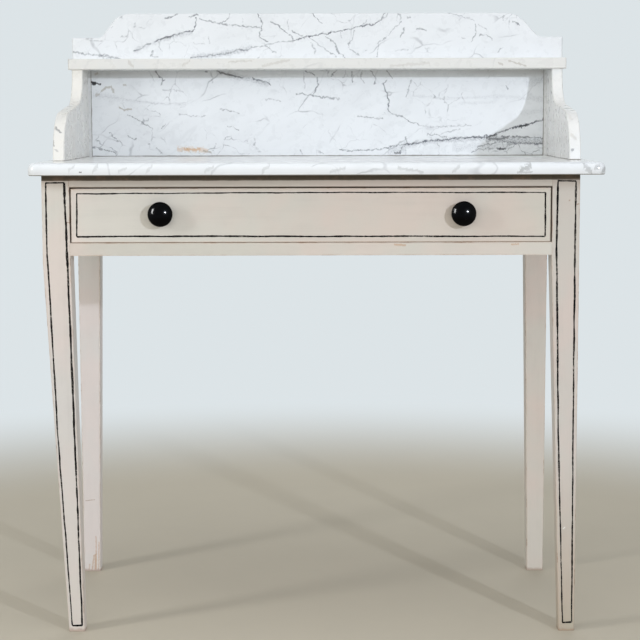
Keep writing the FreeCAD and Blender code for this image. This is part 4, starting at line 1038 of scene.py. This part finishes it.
# the strokes: points in pixels of the picture, then the width in millimetres at both ends
linedFaces = {
    "line_leg_left": {
        "node": "leg_front_left",
        "body": "frame",
        "strokes": [
            ([(45.5, 182.5), (47.3, 256), (58, 438), (72.5, 625.6)], (2.5, 1.9)),
            ([(63.9, 182.5), (67.2, 256), (74.6, 438), (82.3, 625.6)], (3.3, 2.2)),
            ([(45.0, 183), (64.6, 182.6)], (2.4, 2.6)),
            ([(72.1, 625.6), (82.8, 625.2)], (2.7, 3.0)),
        ],
    },
    "line_leg_right": {
        "node": "leg_front_right",
        "body": "frame",
        "strokes": [
            ([(557.9, 180.9), (556.6, 255), (558.3, 435), (562.3, 622.4)], (2.8, 1.9)),
            ([(576.0, 180.9), (575.0, 250), (573.1, 435), (571.5, 622.4)], (2.6, 1.9)),
            ([(557.3, 180.9), (576.6, 180.9)], (2.2, 2.4)),
            ([(561.8, 622.6), (572.0, 621.9)], (2.6, 2.6)),
        ],
    },
    "line_drawer": {
        "node": "drawer_front",
        "body": "drawer",
        "strokes": [
            ([(76.6, 193.2), (76.9, 236.9)], (2.0, 2.2)),
            ([(545.4, 192.2), (545.2, 236.6)], (2.4, 2.4)),
            ([(76.1, 193.9), (200, 193.2), (320, 192.4), (430, 192.5), (545.9, 192.4)], (1.8, 1.7)),
            ([(76.5, 236.7), (200, 236.4), (320, 236.4), (430, 236.2), (545.6, 236.3)], (2.5, 2.1)),
        ],
    },
}


def smoothNoise(count, pitch, seed):
    # a line of random values every pitch samples, eased in between
    values = np.random.default_rng(seed).uniform(-1, 1, count // pitch + 3)
    spot = np.arange(count) / pitch
    i = spot.astype(int)
    t = spot - i
    t = t * t * (3 - 2 * t)
    return values[i] * (1 - t) + values[i + 1] * t


def brushStroke(points, widths, face, seed):
    # a flat bead along a line of points on an upright face: width and path waver, the ends close round
    look = lineLook
    line = onPlane(points, face)
    run = np.concatenate([[0], np.cumsum(np.hypot(*np.diff(line, axis=0).T))])
    count = max(8, int(run[-1] / look["step"]))
    s = np.linspace(0, run[-1], count)
    middle = np.stack([np.interp(s, run, line[:, 0]), np.interp(s, run, line[:, 1])], -1)
    ahead = np.gradient(middle, axis=0)
    ahead /= np.linalg.norm(ahead, axis=1, keepdims=True)
    side = np.stack([-ahead[:, 1], ahead[:, 0]], -1)
    slow, quick = look["swayPitches"]
    sway = smoothNoise(count, slow, seed) + 0.4 * smoothNoise(count, quick, seed + 1)
    middle = middle + side * (look["wobble"] * sway)[:, None]
    slow, quick = look["raggedPitches"]
    ragged = 0.6 * smoothNoise(count, slow, seed + 2) + 0.4 * smoothNoise(count, quick, seed + 3)
    half = look["heavy"] * np.linspace(*widths, count) / 2 / mm * (1 + look["ragged"] * ragged)
    fromEnd = np.minimum(s, run[-1] - s)
    half *= np.sqrt(np.clip(fromEnd / half, 0, 1) * (1 - look["blunt"]) + look["blunt"])
    # the bead's section: how far out each point is, and how far above or below the face
    share = np.array([-1, -0.8, -0.3, 0.3, 0.8, 1, 0.8, -0.8])
    lift = np.array([0, 0.8, 1, 1, 0.8, 0, -1, -1])
    proud = np.where(lift < 0, look["sink"], look["rise"])
    flat = middle[:, None, :] + side[:, None, :] * (half[:, None] * share)[:, :, None]
    depth = np.broadcast_to(face - lift * proud, half.shape + share.shape)
    return solidAlong(np.stack([flat[..., 0], depth, flat[..., 1]], -1))


def linePaint():
    # black with dry-brush gaps
    look = lineLook
    f = Finish("line_paint", Roughness=look["roughness"], Specular_IOR_Level=look["gloss"])
    gaps = f.step(f.noise(420, 4, 0.7) + f.noise(30, 2) * 0.4, 0.76, 0.92)
    color = f.mix(look["black"], paintLook["cream"], gaps * 0.50)
    return f.feed(Base_Color=color, Normal=f.bump(f.noise(900, 2), look["brushDepth"], 0.5))


lineMaterial = linePaint()
for seed, (name, lined) in enumerate(linedFaces.items()):
    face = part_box(lined["node"])[0].y
    strokes = [brushStroke(p, w, face, 100 * seed + 10 * k) for k, (p, w) in enumerate(lined["strokes"])]
    meshPiece(name, strokes, lineMaterial, lined["body"])
print("lines drawn on", len(linedFaces), "faces")


# plain floor that fades into the pale surroundings, soft lamps, pale world
studio = {
    "surround": (0.720, 0.775, 0.800),
    "floor": (0.540, 0.495, 0.400),
    "fadeFrom": 1.0,
    "fadeTo": 2.2,
    "floorRadius": 60.0,
    "floorRings": 39,
    "floorSides": 96,
    "floorDrop": 0.0002,
    "floorShade": 0.93,
    "floorRoughness": 0.7,
    "floorDepth": 0.0008,
    "ambient": (1.0, 1.0, 0.98),
    "ambientLevel": 0.33,
}
lamps = {
    "left": {
        "at": (-2.1, -1.25, 1.40), "to": (0, -0.1, 0.75), "size": (0.35, 1.1),
        "watts": 18, "tint": (1, 1, 1), "mirrored": True,
    },
    "right": {
        "at": (1.58, -2.70, 1.385), "to": (0, -0.1, 0.75), "size": (0.06, 0.06),
        "watts": 30.5, "tint": (0.92, 0.98, 1.10), "mirrored": True,
    },
    "front": {
        "at": (-0.3, -3.4, 1.5), "to": (0, 0, 0.6), "size": (3.0, 1.8),
        "watts": 27, "tint": (1.0, 0.99, 0.97), "mirrored": False,
    },
    "top": {
        "at": (0, -0.6, 3.0), "to": (0, -0.1, 0.7), "size": (2.4, 1.4),
        "watts": 16, "tint": (1, 1, 1), "mirrored": False,
    },
    "behind": {
        "at": (0.4, 3.2, 2.2), "to": (0, 0, 0.7), "size": (2.4, 1.6),
        "watts": 32, "tint": (1, 1, 1), "mirrored": False,
    },
}
# the same two lamps a little nearer and this many times brighter, as only the knobs' gloss shows them
glints = {"left": 8, "right": 11}
glintNearer = 0.02
mirrorRays = ("Is Glossy Ray", "Is Transmission Ray")


def addFloor():
    # a flat disc: rings of points round the middle, closer together near it
    rings, sides = studio["floorRings"], studio["floorSides"]
    radii = studio["floorRadius"] * np.linspace(0, 1, rings + 1)[1:, None] ** 3
    turns = np.linspace(0, 2 * math.pi, sides + 1)[:-1]
    down = np.full((rings, sides), -studio["floorDrop"])
    spots = np.stack([radii * np.cos(turns), radii * np.sin(turns), down], -1).reshape(-1, 3)
    ring = np.arange(sides)
    onward = np.roll(ring, -1)
    first = np.arange(rings - 1)[:, None] * sides
    corners = [first + ring, first + sides + ring, first + sides + onward, first + onward]
    quads = np.stack(corners, -1).reshape(-1, 4)
    mesh = bpy.data.meshes.new("floor")
    mesh.from_pydata(spots.tolist(), [], [ring.tolist()] + quads.tolist())
    mesh.materials.append(floorFinish())
    floor = bpy.data.objects.new("floor", mesh)
    bpy.context.scene.collection.objects.link(floor)


def floorFinish():
    # a pale floor near the object; further off, where it is seen or mirrored, the surroundings' colour
    f = Finish("floor", Roughness=studio["floorRoughness"])
    far = f.step((f.x * f.x + f.y * f.y) ** 0.5, studio["fadeFrom"], studio["fadeTo"])
    shaded = [c * studio["floorShade"] for c in studio["floor"]]
    color = f.mix(studio["floor"], shaded, f.noise(5, 5, 0.6))
    f.feed(Base_Color=color, Normal=f.bump(f.noise(60, 4), studio["floorDepth"], 0.2))
    glow = f.node("ShaderNodeEmission", {}, {"Color": studio["surround"], "Strength": 1.0})
    path = f.node("ShaderNodeLightPath", out="Is Camera Ray")
    seen = path
    for kind in mirrorRays:
        seen = seen.math("MAXIMUM", path.other(kind))
    both = f.node("ShaderNodeMixShader", {}, [far * seen, Sock(f, f.shader.outputs[0]), glow])
    f.tree.links.new(both.socket, f.tree.nodes["Material Output"].inputs["Surface"])
    return f.material


def addWorld():
    world = bpy.data.worlds.new("world")
    world.use_nodes = True
    tree = world.node_tree
    tree.nodes.clear()
    pale, soft = (tree.nodes.new("ShaderNodeBackground") for _ in range(2))
    pale.inputs["Color"].default_value = (*studio["surround"], 1)
    soft.inputs["Color"].default_value = (*studio["ambient"], 1)
    soft.inputs["Strength"].default_value = studio["ambientLevel"]
    path = tree.nodes.new("ShaderNodeLightPath")
    seen = path.outputs["Is Camera Ray"]
    for kind in mirrorRays:
        either = tree.nodes.new("ShaderNodeMath")
        either.operation = "MAXIMUM"
        tree.links.new(seen, either.inputs[0])
        tree.links.new(path.outputs[kind], either.inputs[1])
        seen = either.outputs[0]
    both, out = tree.nodes.new("ShaderNodeMixShader"), tree.nodes.new("ShaderNodeOutputWorld")
    tree.links.new(seen, both.inputs[0])
    tree.links.new(soft.outputs[0], both.inputs[1])
    tree.links.new(pale.outputs[0], both.inputs[2])
    tree.links.new(both.outputs[0], out.inputs[0])
    bpy.context.scene.world = world


def addLamp(name, lamp, watts):
    light = bpy.data.lights.new(name, "AREA")
    light.shape, light.size, light.size_y, light.energy = "RECTANGLE", *lamp["size"], watts
    light.color = lamp["tint"]
    holder = bpy.data.objects.new(name, light)
    aim = (Vector(lamp["to"]) - Vector(lamp["at"])).to_track_quat("-Z", "Y")
    holder.matrix_world = Matrix.Translation(lamp["at"]) @ aim.to_matrix().to_4x4()
    holder.visible_glossy = lamp["mirrored"]
    bpy.context.scene.collection.objects.link(holder)
    return holder


def addLamps():
    for name, lamp in lamps.items():
        addLamp(name, lamp, lamp["watts"])
    knobs = bpy.data.collections.new("knobs")
    knobs.objects.link(nodes["drawer_knobs"])
    for name, times in glints.items():
        lamp = lamps[name]
        near = Vector(lamp["at"]).lerp(Vector(lamp["to"]), glintNearer)
        glint = addLamp(name + "Glint", {**lamp, "at": near}, times * lamp["watts"])
        glint.visible_diffuse = False
        glint.light_linking.receiver_collection = knobs


addFloor()
addWorld()
addLamps()
bpy.context.scene.view_settings.view_transform = "Standard"
print("floor, world and", len(lamps), "lamps set")
